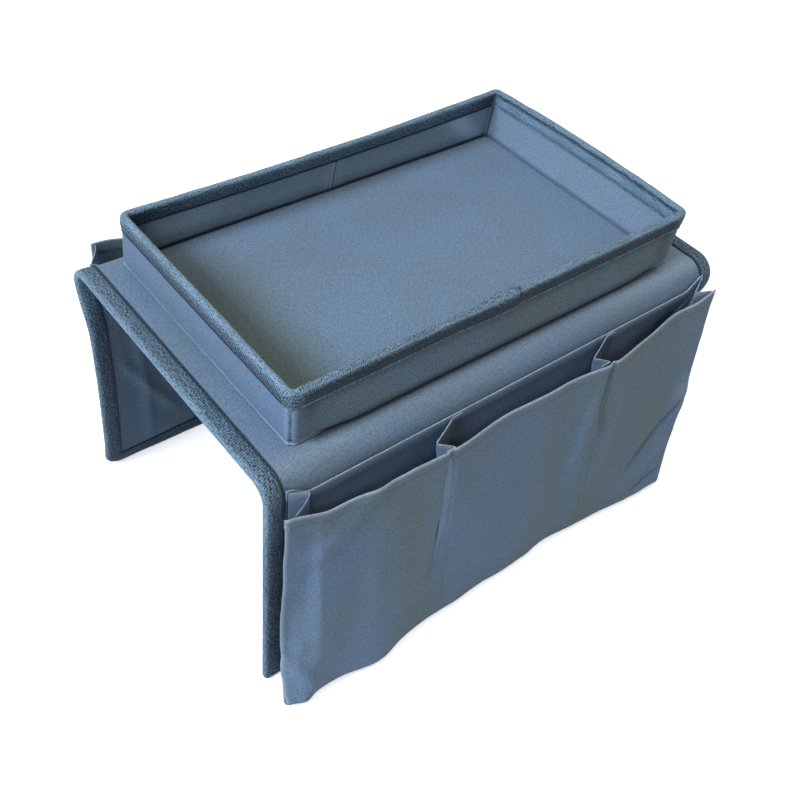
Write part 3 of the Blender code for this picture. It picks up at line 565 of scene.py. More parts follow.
def inside_out(mesh):
    """Whether a closed mesh's faces point inwards."""
    mesh.calc_loop_triangles()
    points = np.empty(len(mesh.vertices) * 3, np.float32)
    mesh.vertices.foreach_get("co", points)
    corners = np.empty(len(mesh.loop_triangles) * 3, np.int32)
    mesh.loop_triangles.foreach_get("vertices", corners)
    triangles = points.reshape(-1, 3)[corners.reshape(-1, 3)].astype(float)
    return np.einsum("ij,ij->i", triangles[:, 0], np.cross(triangles[:, 1], triangles[:, 2])).sum() < 0


def distances(points):
    """The distance along a line of points, at each of them."""
    return np.concatenate([[0], np.cumsum(np.linalg.norm(np.diff(points, axis=0), axis=1))])


def tape_piece(name, points, along, bright=0.0):
    """A folded tape through stations of its whole section, with its ribs raised. It has a painted highlight
    along its outer fold and painted shade along its inner edges."""
    stations, size = points.shape[:2]
    start = np.arange(stations - 1)[:, None] * size
    here, beside = start + np.arange(size), start + np.roll(np.arange(size), -1)
    faces = np.stack([here, beside, beside + size, here + size], -1).reshape(-1, 4).tolist()
    faces += [[*range(size)][::-1], [(stations - 1) * size + step for step in range(size)]]
    bright = bright + 0.3 * bump(INSET, 0, 2.6) - 0.5 * smooth((INSET - 10.6) / 0.9)
    levels = {label: np.broadcast_to(values, (stations, size))
              for label, values in (("along", along[:, None]), ("across", distances(TAPE_SECTION[:, :2])),
                                    ("ribbed", RIB_SHARE), ("bright", bright))}
    made = keep_shape(name, points.reshape(-1, 3), faces, GROSGRAIN, None, levels, 60)
    if inside_out(made.data):
        made.data.flip_normals()
    return grown(made, ribs, {"Rib Spacing": RIB_PITCH, "Rib Height": RIB_HEIGHT * 0.001,
                              "Rib Slant": RIB_SLANT, "Finish": GROSGRAIN})


def edge_line(inset, radius):
    """Down one side of a flap, round both corners and up the other side, at a distance in from its edge."""
    inset = np.asarray(inset)[None, :]
    half = HALF_LENGTH - inset
    turn = np.maximum(radius - inset, 0.6)
    down = FLAP_END - inset - turn
    share = np.linspace(0, 1, int((FLAP_END - radius - FLAP_START) / RIB_STEP))[:, None]
    bends = max(int(radius * math.pi / 2 / RIB_STEP), 24)
    angle = np.linspace(0, math.pi / 2, bends + 2)[1:-1, None]
    across = np.linspace(-1, 1, int((SADDLE_LENGTH - 2 * radius) / RIB_STEP))[:, None]
    side_w = FLAP_START + (down - FLAP_START) * share
    corner_u = turn * np.cos(angle)
    corner_w = down + turn * np.sin(angle)
    u = np.concatenate([-half + 0 * share, -half + turn - corner_u, across * (half - turn),
                        (half - turn + corner_u)[::-1], half + 0 * share])
    w = np.concatenate([side_w, corner_w, down + turn + 0 * across, corner_w[::-1], side_w[::-1]])
    return u, w


tape_lengths = {}
for side, facing, radius in SIDES:
    u, w = edge_line(INSET, radius)
    along = distances(np.concatenate(edge_line([TAPE_MIDDLE], radius), 1))
    tape_lengths[side] = along[-1]
    n = FACE_HEIGHT + 0.12 * ripple(along, 0 * along, 9, 12)[:, None] * RIB_SHARE * FACING_OUT
    darker_down = 0.2 * smooth((w - 25) / 50)
    tape = tape_piece(f"{side}_flap_binding", wrap(facing, u, w, n), along, -darker_down)
    nodes = [f"{side}_{part}" for part in ("flap_tape", "fold_tape_left", "fold_tape_right")]
    declare(tape, over_fold(side, facing), nodes)

for label, end in (("left", -1), ("right", 1)):
    y = np.linspace(-SADDLE_REACH, SADDLE_REACH, SADDLE_RIBS * RIB_STEPS + 1)[:, None]
    x = end * (HALF_LENGTH - INSET) + 0 * y
    z = SADDLE_HEIGHT + FACE_HEIGHT + 0 * y
    # The ribs run on from the near flap's tape, which ends here on the right and starts here on the left
    start = tape_lengths["near"] if end > 0 else 0
    along = start + end * (y[:, 0] + SADDLE_REACH)
    tape = tape_piece(f"saddle_binding_{label}", np.stack([x, y + 0 * x, z], -1), along)
    declare(tape, "saddle",
            [f"saddle_tape_{label}"])

# Tray walls: a strip of cloth goes round outside the four wall boards and another round inside them. Both
# are eased into the corners, where they pucker, and are sewn down to the saddle along the bottom.

TRAY_LENGTH = SADDLE_LENGTH - 2 * 29.7
TRAY_WIDTH = SADDLE_WIDTH - 2 * 16.25
TRAY_HEIGHT = 40.0
TRAY_OFFSET_X = -1.5
TRAY_OFFSET_Y = 3.0
TRAY_CORNER_RADIUS = 6.0
CORNER_ROUND = 9.0
RIM_BOWS = {"near": 0.0, "right": 3.5, "far": -4.0, "left": 0.0}
RIM_LEAN = {"near_left": (0, 0.8), "near_right": (5.2, 0.8), "far_right": (2.5, -1.5), "far_left": (0, -4.6)}
WALLS = (("near", "near_left", "near_right"), ("right", "near_right", "far_right"),
         ("far", "far_right", "far_left"), ("left", "far_left", "near_left"))
WALL_JOINT = 0.49
WALL_LEVELS = np.concatenate([np.linspace(0.3, 5.1, 17), np.linspace(6.5, 36, 14), [38, 39.7]])
WALL_STEP = 1.6
SAG_DEPTH = 3.4
SAG_HEIGHT = 2.7


def tray_corner(name, inset, height):
    """A corner of the tray's outline, as X and Y, for each pair of inset and height."""
    side_x = 1 if "right" in name else -1
    side_y = 1 if "far" in name else -1
    share = np.minimum(height, TRAY_HEIGHT) / TRAY_HEIGHT
    x = TRAY_OFFSET_X + side_x * (TRAY_LENGTH / 2 - inset) + RIM_LEAN[name][0] * share
    y = TRAY_OFFSET_Y + side_y * (TRAY_WIDTH / 2 - inset) + RIM_LEAN[name][1] * share
    return np.stack([x, y], -1)


def tray_path(inset, height, first, start, step, past=0.0):
    """Once round the tray from a place on its first wall, and on past it: points, and for each the distance
    along, the distance to the nearest corner's middle, and its wall."""
    inset, height = np.broadcast_arrays(np.asarray(inset, float), np.asarray(height, float))
    share_high = np.minimum(height, TRAY_HEIGHT) / TRAY_HEIGHT
    pieces, walls, corner, runs = [], [], [], []
    for name, begin, end in WALLS[first:] + WALLS[:first]:
        a, b = tray_corner(begin, inset, height), tray_corner(end, inset, height)
        way = (b - a) / np.linalg.norm(b - a, axis=-1, keepdims=True)
        keep = np.maximum(TRAY_CORNER_RADIUS - inset, 1.2)[..., None]
        runs.append((name, a + way * keep, b - way * keep, way, b))

    def straight(run, low, high):
        name, a, b, way, _ = run
        length = np.linalg.norm(b - a, axis=-1).max()
        count = max(int(abs(high - low) * length / step), 2)
        share = np.linspace(low, high, count)[:, None, None]
        bow = (RIM_BOWS[name] * share_high)[None, :, None]
        out = np.stack([way[..., 1], -way[..., 0]], -1)[None]
        pieces.append(a[None] + (b - a)[None] * share + out * bow * 4 * share * (1 - share))
        walls.extend([name] * count)
        corner.extend(np.minimum(share[:, 0, 0], 1 - share[:, 0, 0]) * length + CORNER_ROUND / 2)

    straight(runs[0], start, 1)
    for index in range(4):
        run, after = runs[index], runs[(index + 1) % 4]
        count = max(int((CORNER_ROUND + 0.4) / step), 9)
        share = np.linspace(0, 1, count + 2)[1:-1, None, None]
        pieces.append(run[2][None] * (1 - share) ** 2 + run[4][None] * 2 * share * (1 - share)
                      + after[1][None] * share**2)
        walls.extend([run[0]] * count)
        corner.extend(np.abs(share[:, 0, 0] - 0.5) * CORNER_ROUND)
        straight(after, 0, 1 if index < 3 else start + past)
    points = np.concatenate(pieces)
    return points, distances(points[:, 0]), np.array(corner), np.array(walls)


def push_out(stations, reach):
    """Move the stations of a path round the tray outwards."""
    tangent = np.gradient(stations, axis=0)
    out = np.stack([tangent[..., 1], -tangent[..., 0]], -1)
    return stations + out / np.linalg.norm(out, axis=-1, keepdims=True) * reach[..., None]


def outer_shape(along, corner, walls, height):
    """How far the outer cloth stands out: a sewn lip along the bottom, puckers at the corners, slack
    between. On the near wall it has sagged over its seam, which lies in the shade of a deep crease."""
    near = (walls == "near") * smooth((corner - 8) / 42)
    free = np.sin(np.pi * np.clip(height / 29, 0, 1)) * smooth((corner - 2) / 12)
    out = free * (0.45 + 0.45 * ripple(along, height, 28, 21) + 0.18 * ripple(along, height, 9, 22))
    lip = bump(height, 1.3, 0.75) * (0.55 + 0.2 * ripple(along, 0 * along, 12, 23))
    sag = SAG_DEPTH * smooth((height - SAG_HEIGHT) / 1.3) * (1 - smooth((height - 4) / 24))
    seam = -0.6 * bump(corner, 0, 0.9) + 0.45 * bump(corner, 2.4, 1.2)
    return out + lip * (1 - near) + near * sag + seam * smooth(height / 4) * smooth((30 - height) / 6)


def inner_shape(along, corner, walls, height):
    """How far the inner cloth stands in from the wall boards, as a length outwards: slack, a joint and
    puckers, and a roll over the seam round the floor."""
    free = np.sin(np.pi * np.clip(height / 29, 0, 1)) * smooth((corner - 2) / 10)
    slack = free * (0.5 + 0.6 * ripple(along, height, 30, 25) + 0.3 * ripple(along, height, 8, 26))
    joint = np.minimum(along, along.max() - along)
    slack = slack + (0.9 * bump(joint, 1.4, 0.9) + 0.7 * bump(joint, 6, 1.2)) * free**0.3
    roll = smooth((height - 2.6) / 1.2) * (1 - smooth((height - 4) / 14))
    slack = slack + (0.9 + 0.3 * ripple(along, 0 * along, 16, 27)) * roll
    pucker = 0.6 * bump(corner, 0, 1.6) * (1 + 0.6 * np.sin(height * 0.9))
    return -slack - pucker * smooth((30 - height) / 6)


def outer_shades(along, corner, walls, height):
    """Painted highlights on the outer cloth along its lip, corners and corners' feet, and painted shade: a
    little all over, in the corners' seams and above their feet, and on the near wall, beside its corners,
    under its sag and under the rim."""
    near = walls == "near"
    lip = bump(height, np.where(near, SAG_HEIGHT + 0.9, 1.3), 0.7)
    wear_and_highlight = 0.28 * lip + 0.3 * bump(corner, 2.6, 1.3) + 0.5 * bump(height, 1.4, 1.0) * bump(corner, 0, 13)
    seam = 0.65 * bump(corner, 0, 0.6) * (0.5 + 0.5 * np.sin(height * 2.2))
    above_foot = 0.7 * bump(corner, 0, 1.6) * bump(height, 4.2, 1.1)
    under_sag = smooth((corner - 6) / 30) * (1 - smooth((height - SAG_HEIGHT + 0.5) / 0.8))
    under_sag = under_sag + 0.6 * smooth((corner - 10) / 40) * (1 - smooth((height - SAG_HEIGHT) / 7))
    beside_corner = 0.3 * bump(corner, 12, 6) * smooth((height - 6) / 16)
    under_rim = 0.35 * smooth((height - 21) / 8) * smooth((corner - 4) / 10)
    return wear_and_highlight, 0.1 + seam + above_foot + near * (0.1 + under_sag + beside_corner + under_rim)


def inner_shades(along, corner, walls, height):
    """Painted light on the inner cloth, on the walls that take the light and along its joint's ridge, and
    painted shade round the floor, in the corners, and at its joint."""
    joint = np.minimum(along, along.max() - along)
    far_left = (walls == "far") * (along < along.max() / 2)
    far_right = (walls == "far") * (along > along.max() / 2)
    slant = bump(joint - 124 + 1.1 * (height - 18), 0, 11)
    lit = 0.2 * (walls == "right") + 0.34 * (walls == "far") * smooth((height - 6) / 10)
    lit = lit + 0.7 * far_right * slant + 0.3 * far_left * bump(joint, 112, 22) * smooth((height - 10) / 10)
    ridge = 0.35 * bump(joint, 1.6, 0.9) + 0.2 * bump(joint, 6, 1.2)
    floor_line = np.where(walls == "right", 0.35, 1.0) * (1 - smooth((height - 4.4) / 1.5))
    folded = 0.85 * bump(corner, 0, 1.7) + 0.8 * bump(joint, 0, 0.7)
    corner_shade = 0.45 * far_right * bump(corner, 0, 7) + 0.7 * far_left * bump(corner, 0, 15)
    return lit + ridge, floor_line + folded + corner_shade


for name, node, inset, shape, shades in (
        ("tray_outer_cloth", "tray_wall_outer", CLOTH / 2, outer_shape, outer_shades),
        ("tray_inner_cloth", "tray_wall_inner", SKIN - CLOTH / 2, inner_shape, inner_shades)):
    # The strip's two ends meet edge to edge in the far wall
    stations, along, corner, walls = tray_path(inset, WALL_LEVELS, 2, WALL_JOINT, WALL_STEP)
    spread = along[:, None], corner[:, None], walls[:, None], WALL_LEVELS[None, :]
    stations = push_out(stations, shape(*spread))
    z = np.broadcast_to(SADDLE_HEIGHT + WALL_LEVELS, stations.shape[:2])
    middle = np.concatenate([stations, z[..., None]], -1)
    middle[0, :, 0] -= GAP / 2
    middle[-1, :, 0] += GAP / 2
    wear_and_highlight, painted_shade = shades(*spread)
    olive = 0.15 + (0.75 * (walls == "near") + 0.7 * (walls == "far"))[:, None]
    strip = cloth_piece(name, middle, (along[:, None], z), SLATE_OXFORD, wear_and_highlight, olive,
                        np.clip(painted_shade, 0, 1))
    declare(strip, "saddle", [node])

# Tray floor: one panel of the cloth over a board, pulled down all round, with a little slack in it. Its near
# left part has painted shade and an olive tint for the shade of the walls, and painted shade runs round its
# edge, weaker along the right wall.

FLOOR_INSET = SKIN + GAP + 0.9
FLOOR_LEVEL = SADDLE_HEIGHT + 2 * GAP + BOARD + CLOTH / 2
FLOOR_FOLDS = (
    ((-150, 70), (-60, 84), 0.35, 9), ((60, 86), (135, 60), 0.4, 12), ((-140, -20), (-120, 60), 0.3, 14),
    ((120, -60), (140, 40), 0.35, 12), ((-80, -78), (60, -82), 0.35, 8),
)
a, b = np.meshgrid(np.linspace(-1, 1, 150), np.linspace(-1, 1, 96))
corners = {name: tray_corner(name, FLOOR_INSET, 2.0)[:, None, None] for name in RIM_LEAN}
low, high = (corners[f"{side}_left"] * (1 - a) / 2 + corners[f"{side}_right"] * (1 + a) / 2
             for side in ("near", "far"))
tuck = np.stack([np.sign(a), np.sign(b)]) * (np.abs(a) * np.abs(b)) ** 40
x, y = low * (1 - b) / 2 + high * (1 + b) / 2 - tuck
from_wall = np.minimum((1 - np.abs(a)) * TRAY_LENGTH / 2, (1 - np.abs(b)) * TRAY_WIDTH / 2)
slack = 0.25 + 0.22 * ripple(x, y, 34, 31) + 0.14 * ripple(x, y, 11, 32) + creases(FLOOR_FOLDS, x, y)
z = FLOOR_LEVEL + smooth(from_wall / 9) * np.maximum(slack, 0)
shaded = smooth((-TRAY_LENGTH / 2 + 95 - x) / 80) * smooth((TRAY_WIDTH / 2 + 6 - y) / 90)
painted_shade = (0.85 - 0.6 * smooth((x - TRAY_LENGTH / 2 + 30) / 20)) * (1 - smooth((from_wall - 0.3) / 1.3))
floor_cloth = cloth_piece("tray_floor_cloth", np.stack([x, y, z], -1), (x, y), SLATE_OXFORD, 0.0,
                          0.1 + 1.3 * shaded, painted_shade + 0.13 * shaded)
declare(floor_cloth, "saddle", ["tray_floor"])

# Rim binding: the same ribbed tape, folded over the walls' top edges in one length. Its cut end is turned in
# and lapped over its beginning on the near wall, where it lifts off the cloth for a short way before.

RIM_START = 0.469
RIM_LAP = 11.0
RIM_TOP = TRAY_HEIGHT + 0.8
LIFT_LENGTH = 34
rim_height = RIM_TOP - INSET
stations, along, corner, walls = tray_path(-FACE_HEIGHT, rim_height, 0, RIM_START, RIB_STEP,
                                           RIM_LAP / (TRAY_LENGTH - 2 * TRAY_CORNER_RADIUS))
lifted = 0.82 * 1.5 * smooth((along - along[-1] + RIM_LAP + LIFT_LENGTH) / (LIFT_LENGTH - 0.2))[:, None]
puff = (0.14 * ripple(along, 0 * along, 8, 41) + 0.1 * ripple(along, 0 * along, 21, 42))[:, None]
stations = push_out(stations, (lifted + puff * RIB_SHARE) * FACING_OUT)
z = SADDLE_HEIGHT + rim_height + lifted * smooth((6 - INSET) / 6) + puff * bump(INSET, 0, 1.2)

# Painted light and shade on the rim, each as a place along it and a place round its section: painted light in
# bands inside the right wall, painted shade low on the left wall's outer face and on the far wall's inner
# face near its corners, paler corners along the lower edge, and on the near wall painted highlights on the
# lip and the shoulder, a darker top and a painted dark face. It is darker where the lap ends.
outside, behind = FACING_OUT > 0, FACING_OUT < 0
corner, on = corner[:, None], {name: (walls == name)[:, None] for name in RIM_BOWS}
inner = behind * smooth((INSET - 1.5) / 1.5)
light_bands = 0.36 - 0.75 * bump(INSET, 3.2, 0.9) + 0.3 * smooth((INSET - 10.6) / 0.9)
face = outside * smooth((INSET - 2.6) / 1.4) * smooth((11.2 - INSET) / 0.8)
darker_top = np.where(along > along[-1] / 2, 0.2, 0.08)[:, None] * smooth(3.4 - INSET)
bright = on["right"] * smooth(corner / 4) * inner * light_bands
bright = bright - 0.22 * on["left"] * smooth(corner / 10) * outside * smooth((INSET - 3) / 5)
bright = bright - 0.45 * on["far"] * bump(corner, 0, 26) * inner
bright = bright + 0.55 * bump(corner, 0, 7) * smooth((INSET - 10.2) / 0.9)
bright = bright + on["near"] * (0.65 * outside * smooth((INSET - 11.2) / 0.4)
                                + smooth(corner / 8) * (0.5 * outside * bump(INSET, 1.6, 0.8) - darker_top)
                                - 0.5 * smooth((corner - 4) / 8) * face)
bright = bright - 0.5 * bump(along, RIM_LAP + 1.8, 1.4)[:, None]
rim_binding = tape_piece("tray_rim_binding", np.concatenate([stations, z[..., None]], -1), along, bright)
declare(rim_binding, "saddle", ["tray_rim_tape"])

# Pocket back panels: one cloth behind all three pockets, hemmed along its top and sewn to the flap at its
# ends, its bottom and the dividers. Its hem sags away from the fold between its ends.

HEM_DROP = 15.0
END_HEM_DROP = 5.5
HEM_RISE_LENGTH = 16.0
HEM_WIDTH = 8.0
HEM_TAIL = 3.2
POCKET_HALF = HALF_LENGTH - TAPE_WIDTH - GAP
PANEL_BOTTOM = GAP + TAPE + TAPE_WIDTH + GAP
PANEL_COLUMNS = 180
HEM_LAYER = 2 * CLOTH + GAP
DIVIDERS = (("left", HALF_LENGTH * -0.302), ("right", HALF_LENGTH * 0.4187))
# Over the rolled hem from its inner end: how far out from the flap, and how far down from the hem's top
BACK_HEM_ROWS = (
    (GAP + 0.25, -HEM_WIDTH), (GAP + 0.25, -HEM_WIDTH / 2), (GAP + 0.27, -0.8), (GAP + 0.4, -0.25),
    (0.8, 0.0), (1.0, -0.25), (1.06, -0.8), (1.06, -HEM_WIDTH / 2), (1.06, -HEM_WIDTH),
    (0.85, -HEM_WIDTH - HEM_TAIL / 2), (0.6, -HEM_WIDTH - HEM_TAIL),
)
# Where shade is painted on the panel, at its left end and past each divider: a place along it, depth, half
# width
BACK_SHADES = ((-172, 0.35, 14), (DIVIDERS[0][1] + 7, 0.4, 11), (DIVIDERS[1][1] + 7, 0.3, 11))


def ridges(folds, place):
    """Upright folds, each with its middle, its height and its half width."""
    return sum(height * bump(place, middle, width) for middle, height, width in folds)


def back_hem(u):
    share = 1 - smooth((POCKET_HALF - np.abs(u)) / HEM_RISE_LENGTH)
    return SADDLE_HEIGHT - HEM_DROP - (END_HEM_DROP - HEM_DROP) * share


def flap_place(facing, u, v, z):
    """A place on a flap: V is out from its face. The far flap is the near one turned round."""
    u, v, z = np.broadcast_arrays(u, v, z)
    return np.stack([-facing * u, facing * (HALF_WIDTH + v - bent_in(u, z, v)), z], -1)


for side, facing, _ in SIDES:
    u = np.linspace(-POCKET_HALF, POCKET_HALF, PANEL_COLUMNS)[None, :]
    top = back_hem(u)
    under_hem = top - HEM_WIDTH - HEM_TAIL
    v = np.concatenate([np.full((1, PANEL_COLUMNS), out) for out, _ in BACK_HEM_ROWS]
                       + [np.full((60, PANEL_COLUMNS), BACK_HEM_ROWS[-1][0])])
    down_panel = under_hem - (under_hem - PANEL_BOTTOM) * np.linspace(0, 1, 61)[1:, None]
    z = np.concatenate([top + down for _, down in BACK_HEM_ROWS] + [down_panel])
    deep = distances(np.stack([v[:, 0], z[:, PANEL_COLUMNS // 2]], -1))[:, None] + 0 * u
    free = smooth((POCKET_HALF - np.abs(u)) / 12) * smooth((z - PANEL_BOTTOM) / 20)
    v = v + free * (0.45 + 0.45 * ripple(u, z, 30, 51) + 0.2 * ripple(u, z, 9, 52)) * smooth((deep - 18) / 25)
    # Painted shade over the panel below its hem and a painted highlight on the hem's roll; the panel is
    # tinted bluer than the rest of the cloth, as painted shade inside the pockets
    dusk = (0.1 + ridges(BACK_SHADES, u)) * smooth((deep - 12) / 8)
    back = cloth_piece(f"{side}_back_panel", flap_place(facing, u, v, z), (u, deep), SLATE_OXFORD,
                       0.9 * bump(deep, HEM_WIDTH, 0.9), -0.5, np.clip(dusk, 0, 1))
    declare(back, f"{side}_flap", [f"{side}_pocket_back"])

# Pocket fronts: one wide cloth hangs across all three pockets. It is hemmed at the mouth, pleated at the
# dividers, drawn in at its ends, and turned back under the pockets to its seam at the foot of the flap.

FRONT_LEFT = 6.2 - HALF_LENGTH
FRONT_RIGHT = HALF_LENGTH - 3.7
FRONT_STITCH_SHIFT = 8.0
SEAM_HEIGHT = 14.0
LOWEST_CLOTH = 3.6
TURN_RADIUS = 4.0
TURN_HEIGHT = LOWEST_CLOTH + TURN_RADIUS
# How far the hem hangs below the saddle's top, and how far out from the flap the cloth hangs at its mouth and
# its foot. The far row's right end gapes, higher and farther out.
HEM_FALL = 24.0
END_HEM_RISE = 7.0
GAPING_HEM_FALL = 12.0
MOUTH_REACH = 13.4
END_MOUTH_REACH = 10.8
GAPING_MOUTH_REACH = 29.0
FOOT_REACH = 28.0
HEM_TURN = 0.9
LEFT_FLARE_WIDTH = 22.0
# Upright folds, each with its middle, its height and its half width
LOWER_FOLDS = ((-171, 3.5, 6), (-120, 6.5, 21), (-45, 0.6, 14), (44, -2.2, 14))
MOUTH_FOLDS = ((-66, 4.5, 30), (72, 5.5, 26), (-112, 2.0, 22), (20, 1.5, 24), (148, -4.2, 24))
HEM_LIFTS = ((150, 2.6, 24), (128, 0.8, 9), (-96, 0.6, 8), (30, 0.7, 9))
# Single folds: the two pleats below the dividers, the pull towards the drawn-in right end, the slack between
FRONT_FOLDS = (
    ((-118, 174), (-168, 136), 1.8, 6), ((-112, 168), (-160, 128), -1.0, 5),
    ((-69, 172), (-69, 112), -2.6, 2.2), ((-70, 112), (-76, 60), -2.2, 4), ((-62, 150), (-60, 90), 2.0, 4),
    ((-50, 140), (-42, 60), 2.6, 10),
    ((72, 172), (69, 140), -3.0, 2.0), ((69, 140), (77, 104), -2.6, 2.4), ((62, 150), (54, 74), 3.4, 5),
    ((86, 130), (80, 60), 1.6, 6), ((192, 92), (130, 42), -5.0, 3.6), ((196, 66), (150, 34), 2.4, 6),
    ((182, 22), (138, 9), -3.2, 3.4), ((-150, 96), (-158, 36), 0.9, 9), ((-132, 120), (-140, 40), -1.1, 8),
    ((-186, 56), (-158, 4), 2.6, 5), ((-100, 110), (-96, 40), 1.6, 8), ((118, 104), (100, 40), 2.0, 8),
    ((14, 96), (4, 30), 1.8, 10), ((-10, 150), (4, 100), -1.4, 8), ((150, 150), (140, 96), 1.6, 9),
    ((-172, 60), (-178, 20), 1.6, 4),
)
# Over the rolled hem from its inner end: how far out from the front's face, and how far down from its top
FRONT_HEM_ROWS = ((-0.95, -HEM_WIDTH), (-0.95, -HEM_WIDTH / 2), (-0.95, -HEM_TURN), (-0.8, -0.25),
                  (-0.47, 0.0), (-0.14, -0.25))


class PocketRow:
    """The hanging shape of one row's front cloth, which its gussets and dividers meet."""

    def __init__(self, facing, gaping):
        self.facing = facing
        self.gaping = gaping

    def end_share(self, u):
        return 1 - smooth(np.minimum(u - FRONT_LEFT, FRONT_RIGHT - u) / 30)

    def gape(self, u):
        return self.gaping * smooth((u - DIVIDERS[1][1]) / (FRONT_RIGHT - DIVIDERS[1][1]))

    def hem_height(self, u):
        drop = HEM_FALL - END_HEM_RISE * self.end_share(u) - ridges(HEM_LIFTS, u)
        return SADDLE_HEIGHT - drop - (GAPING_HEM_FALL - drop) * self.gape(u)

    def mouth(self, u):
        reach = MOUTH_REACH + ridges(MOUTH_FOLDS, u)
        reach = reach + (END_MOUTH_REACH - reach) * self.end_share(u)
        return reach + (GAPING_MOUTH_REACH - reach) * self.gape(u)

    def close_left(self, u):
        return 1 - smooth((u - FRONT_LEFT) / LEFT_FLARE_WIDTH)

    def foot(self, u):
        return FOOT_REACH - 1.5 * self.close_left(u) + ridges(LOWER_FOLDS, u) + 8.5 * smooth((u - 50) / 125)

    def high(self, u, z):
        return np.clip((z - TURN_HEIGHT) / (self.hem_height(u) - TURN_HEIGHT), 0.0, 1.0)

    def drawn(self, u, z):
        """How the cloth's places along the arm are drawn in towards the middle, most at the lower right."""
        high = self.high(u, z)
        left = 1 - smooth((u - FRONT_LEFT) / 60)
        right = 1 - smooth((FRONT_RIGHT - u) / 90)
        inward = 19.5 * (1 - high) ** 0.9 + self.gaping * 22.0 * high - 4.5 * bump(z, 88, 16) * right**2
        return u - left * 5.5 * (1 - high) ** 2.2 - right * inward

    def standoff(self, u, z):
        """How far out the cloth hangs, from its mouth to its foot, with its lower folds fading upwards."""
        low = 1 - self.high(u, z)
        folds = ridges(LOWER_FOLDS, u)
        out = self.mouth(u) + (self.foot(u) - folds - self.mouth(u)) * low ** (1 + 6 * self.close_left(u))
        return out + folds * low**1.6

    def underside(self, u, v):
        reach = self.foot(u) - 5
        share = np.clip((v - CLOTH - GAP) / (reach - CLOTH - GAP), 0.0, 1.0)
        return SEAM_HEIGHT - (SEAM_HEIGHT - LOWEST_CLOTH - 1) * share

    def rumple(self, u, z):
        """How far the cloth stands off its main shape, in single folds and small unevenness."""
        loose = smooth((1 - self.high(u, z)) / 0.12)
        small = 0.5 * ripple(u, z, 20, 61) + 0.22 * ripple(u, z, 8, 62)
        held = smooth((FRONT_RIGHT + 2 - u) / 10) * smooth((u - FRONT_LEFT + 6) / 10) * smooth((z - 4) / 14)
        return creases(FRONT_FOLDS, u, z) * held + loose * small + 0.4 * ripple(u, 0 * z, 24, 63)

    def out(self, u, z):
        return self.standoff(u, z) + self.rumple(u, z)


ROWS = {"near": PocketRow(-1, 0), "far": PocketRow(1, 1)}

for side, row in ROWS.items():
    u = np.linspace(FRONT_LEFT, FRONT_RIGHT, 236)[None, :]
    top = row.hem_height(u)
    levels = np.concatenate([np.linspace(0, 0.06, 7)[1:], np.linspace(0.06, 1, 84)[1:]])[:, None]
    z = np.concatenate([*[top + drop for _, drop in FRONT_HEM_ROWS], top - HEM_TURN,
                        top - HEM_TURN - (top - HEM_TURN - TURN_HEIGHT) * levels])
    v = row.out(u, z)
    v[:len(FRONT_HEM_ROWS)] += np.array([shift for shift, _ in FRONT_HEM_ROWS])[:, None]
    place = row.drawn(u, z)
    reach, low = v[-1:], place[-1:]
    bend = np.linspace(0, math.pi / 2, 7)[1:, None]
    fold_v = reach - TURN_RADIUS * (1 - np.cos(bend))
    fold_z = TURN_HEIGHT - (TURN_RADIUS - GAP) * np.sin(bend)
    share = np.linspace(0, 1, 16)[1:, None]
    seam_v = CLOTH + 2 * GAP + CLOTH / 2
    under_v = reach - TURN_RADIUS + (seam_v - reach + TURN_RADIUS) * share
    under_z = LOWEST_CLOTH + GAP + (SEAM_HEIGHT - LOWEST_CLOTH - GAP) * share - 0.8 * np.sin(math.pi * share)
    v = np.concatenate([v, fold_v, under_v])
    z = np.concatenate([z, fold_z + 0 * u, np.maximum(under_z, LOWEST_CLOTH) + 0 * u])
    sewn = np.maximum(low, GAP - POCKET_HALF)
    place = np.concatenate([place, low + 0 * fold_v, low + (sewn - low) * share])
    v = v - 1.1 * (1 - smooth((u - FRONT_LEFT) / 1.8)) - 0.5 * (1 - smooth((FRONT_RIGHT - u) / 1.2))
    deep = np.cumsum(np.hypot(np.diff(v, axis=0, prepend=v[:1]), np.diff(z, axis=0, prepend=z[:1])), axis=0)
    edge = np.minimum(u - FRONT_LEFT, FRONT_RIGHT - u) + 0 * z
    # Painted highlights on the hem's roll and on the facet beside the drawn-in right end, and paler down the
    # two ends
    wear_and_highlight = 0.9 * bump(deep - HEM_WIDTH, 0.6, 0.9) + 0.7 * bump(edge, 0, 1.1)
    wear_and_highlight = wear_and_highlight + 0.3 * bump(u, 180, 9) * bump(z, 96, 13)
    # Olive left of the left pleat, along the hem and over the right pocket, apart from two bluer bands
    olive = 0.1 + 0.9 * bump(u + 86 + 0.1 * z, 0, 22) + 0.8 * smooth((u + 10) / 50)
    olive = olive + 0.5 * smooth((z - 140) / 30) - 0.5 * bump(u - 60 + 0.08 * z, 0, 9)
    olive = olive - 0.6 * smooth((u - 150) / 30)
    olive = olive - 0.4 * smooth((u - 90) / 60) * smooth((80 - z) / 40)
    front = cloth_piece(f"{side}_front_cloth", flap_place(row.facing, place, v, z), (u, deep), SLATE_OXFORD,
                        np.minimum(wear_and_highlight, 1), np.clip(olive, 0, 1))
    declare(front, f"{side}_pocket", [f"{side}_pocket_front"])

# Gussets and dividers: single plies sewn to the back panel and to the front cloth, each creased once so that
# it folds like a bellows. Each shows its turned allowances at the top, where it is not hemmed.

PLEAT_LEVELS = 46
PLEAT_COLUMNS = 64
GUSSET_TOP = SADDLE_HEIGHT - END_HEM_DROP - 1.5
DIVIDER_TOP = SADDLE_HEIGHT - HEM_DROP - 1.0
GUSSET_PLACE = POCKET_HALF - 1.0
ALLOWANCE = 7.0
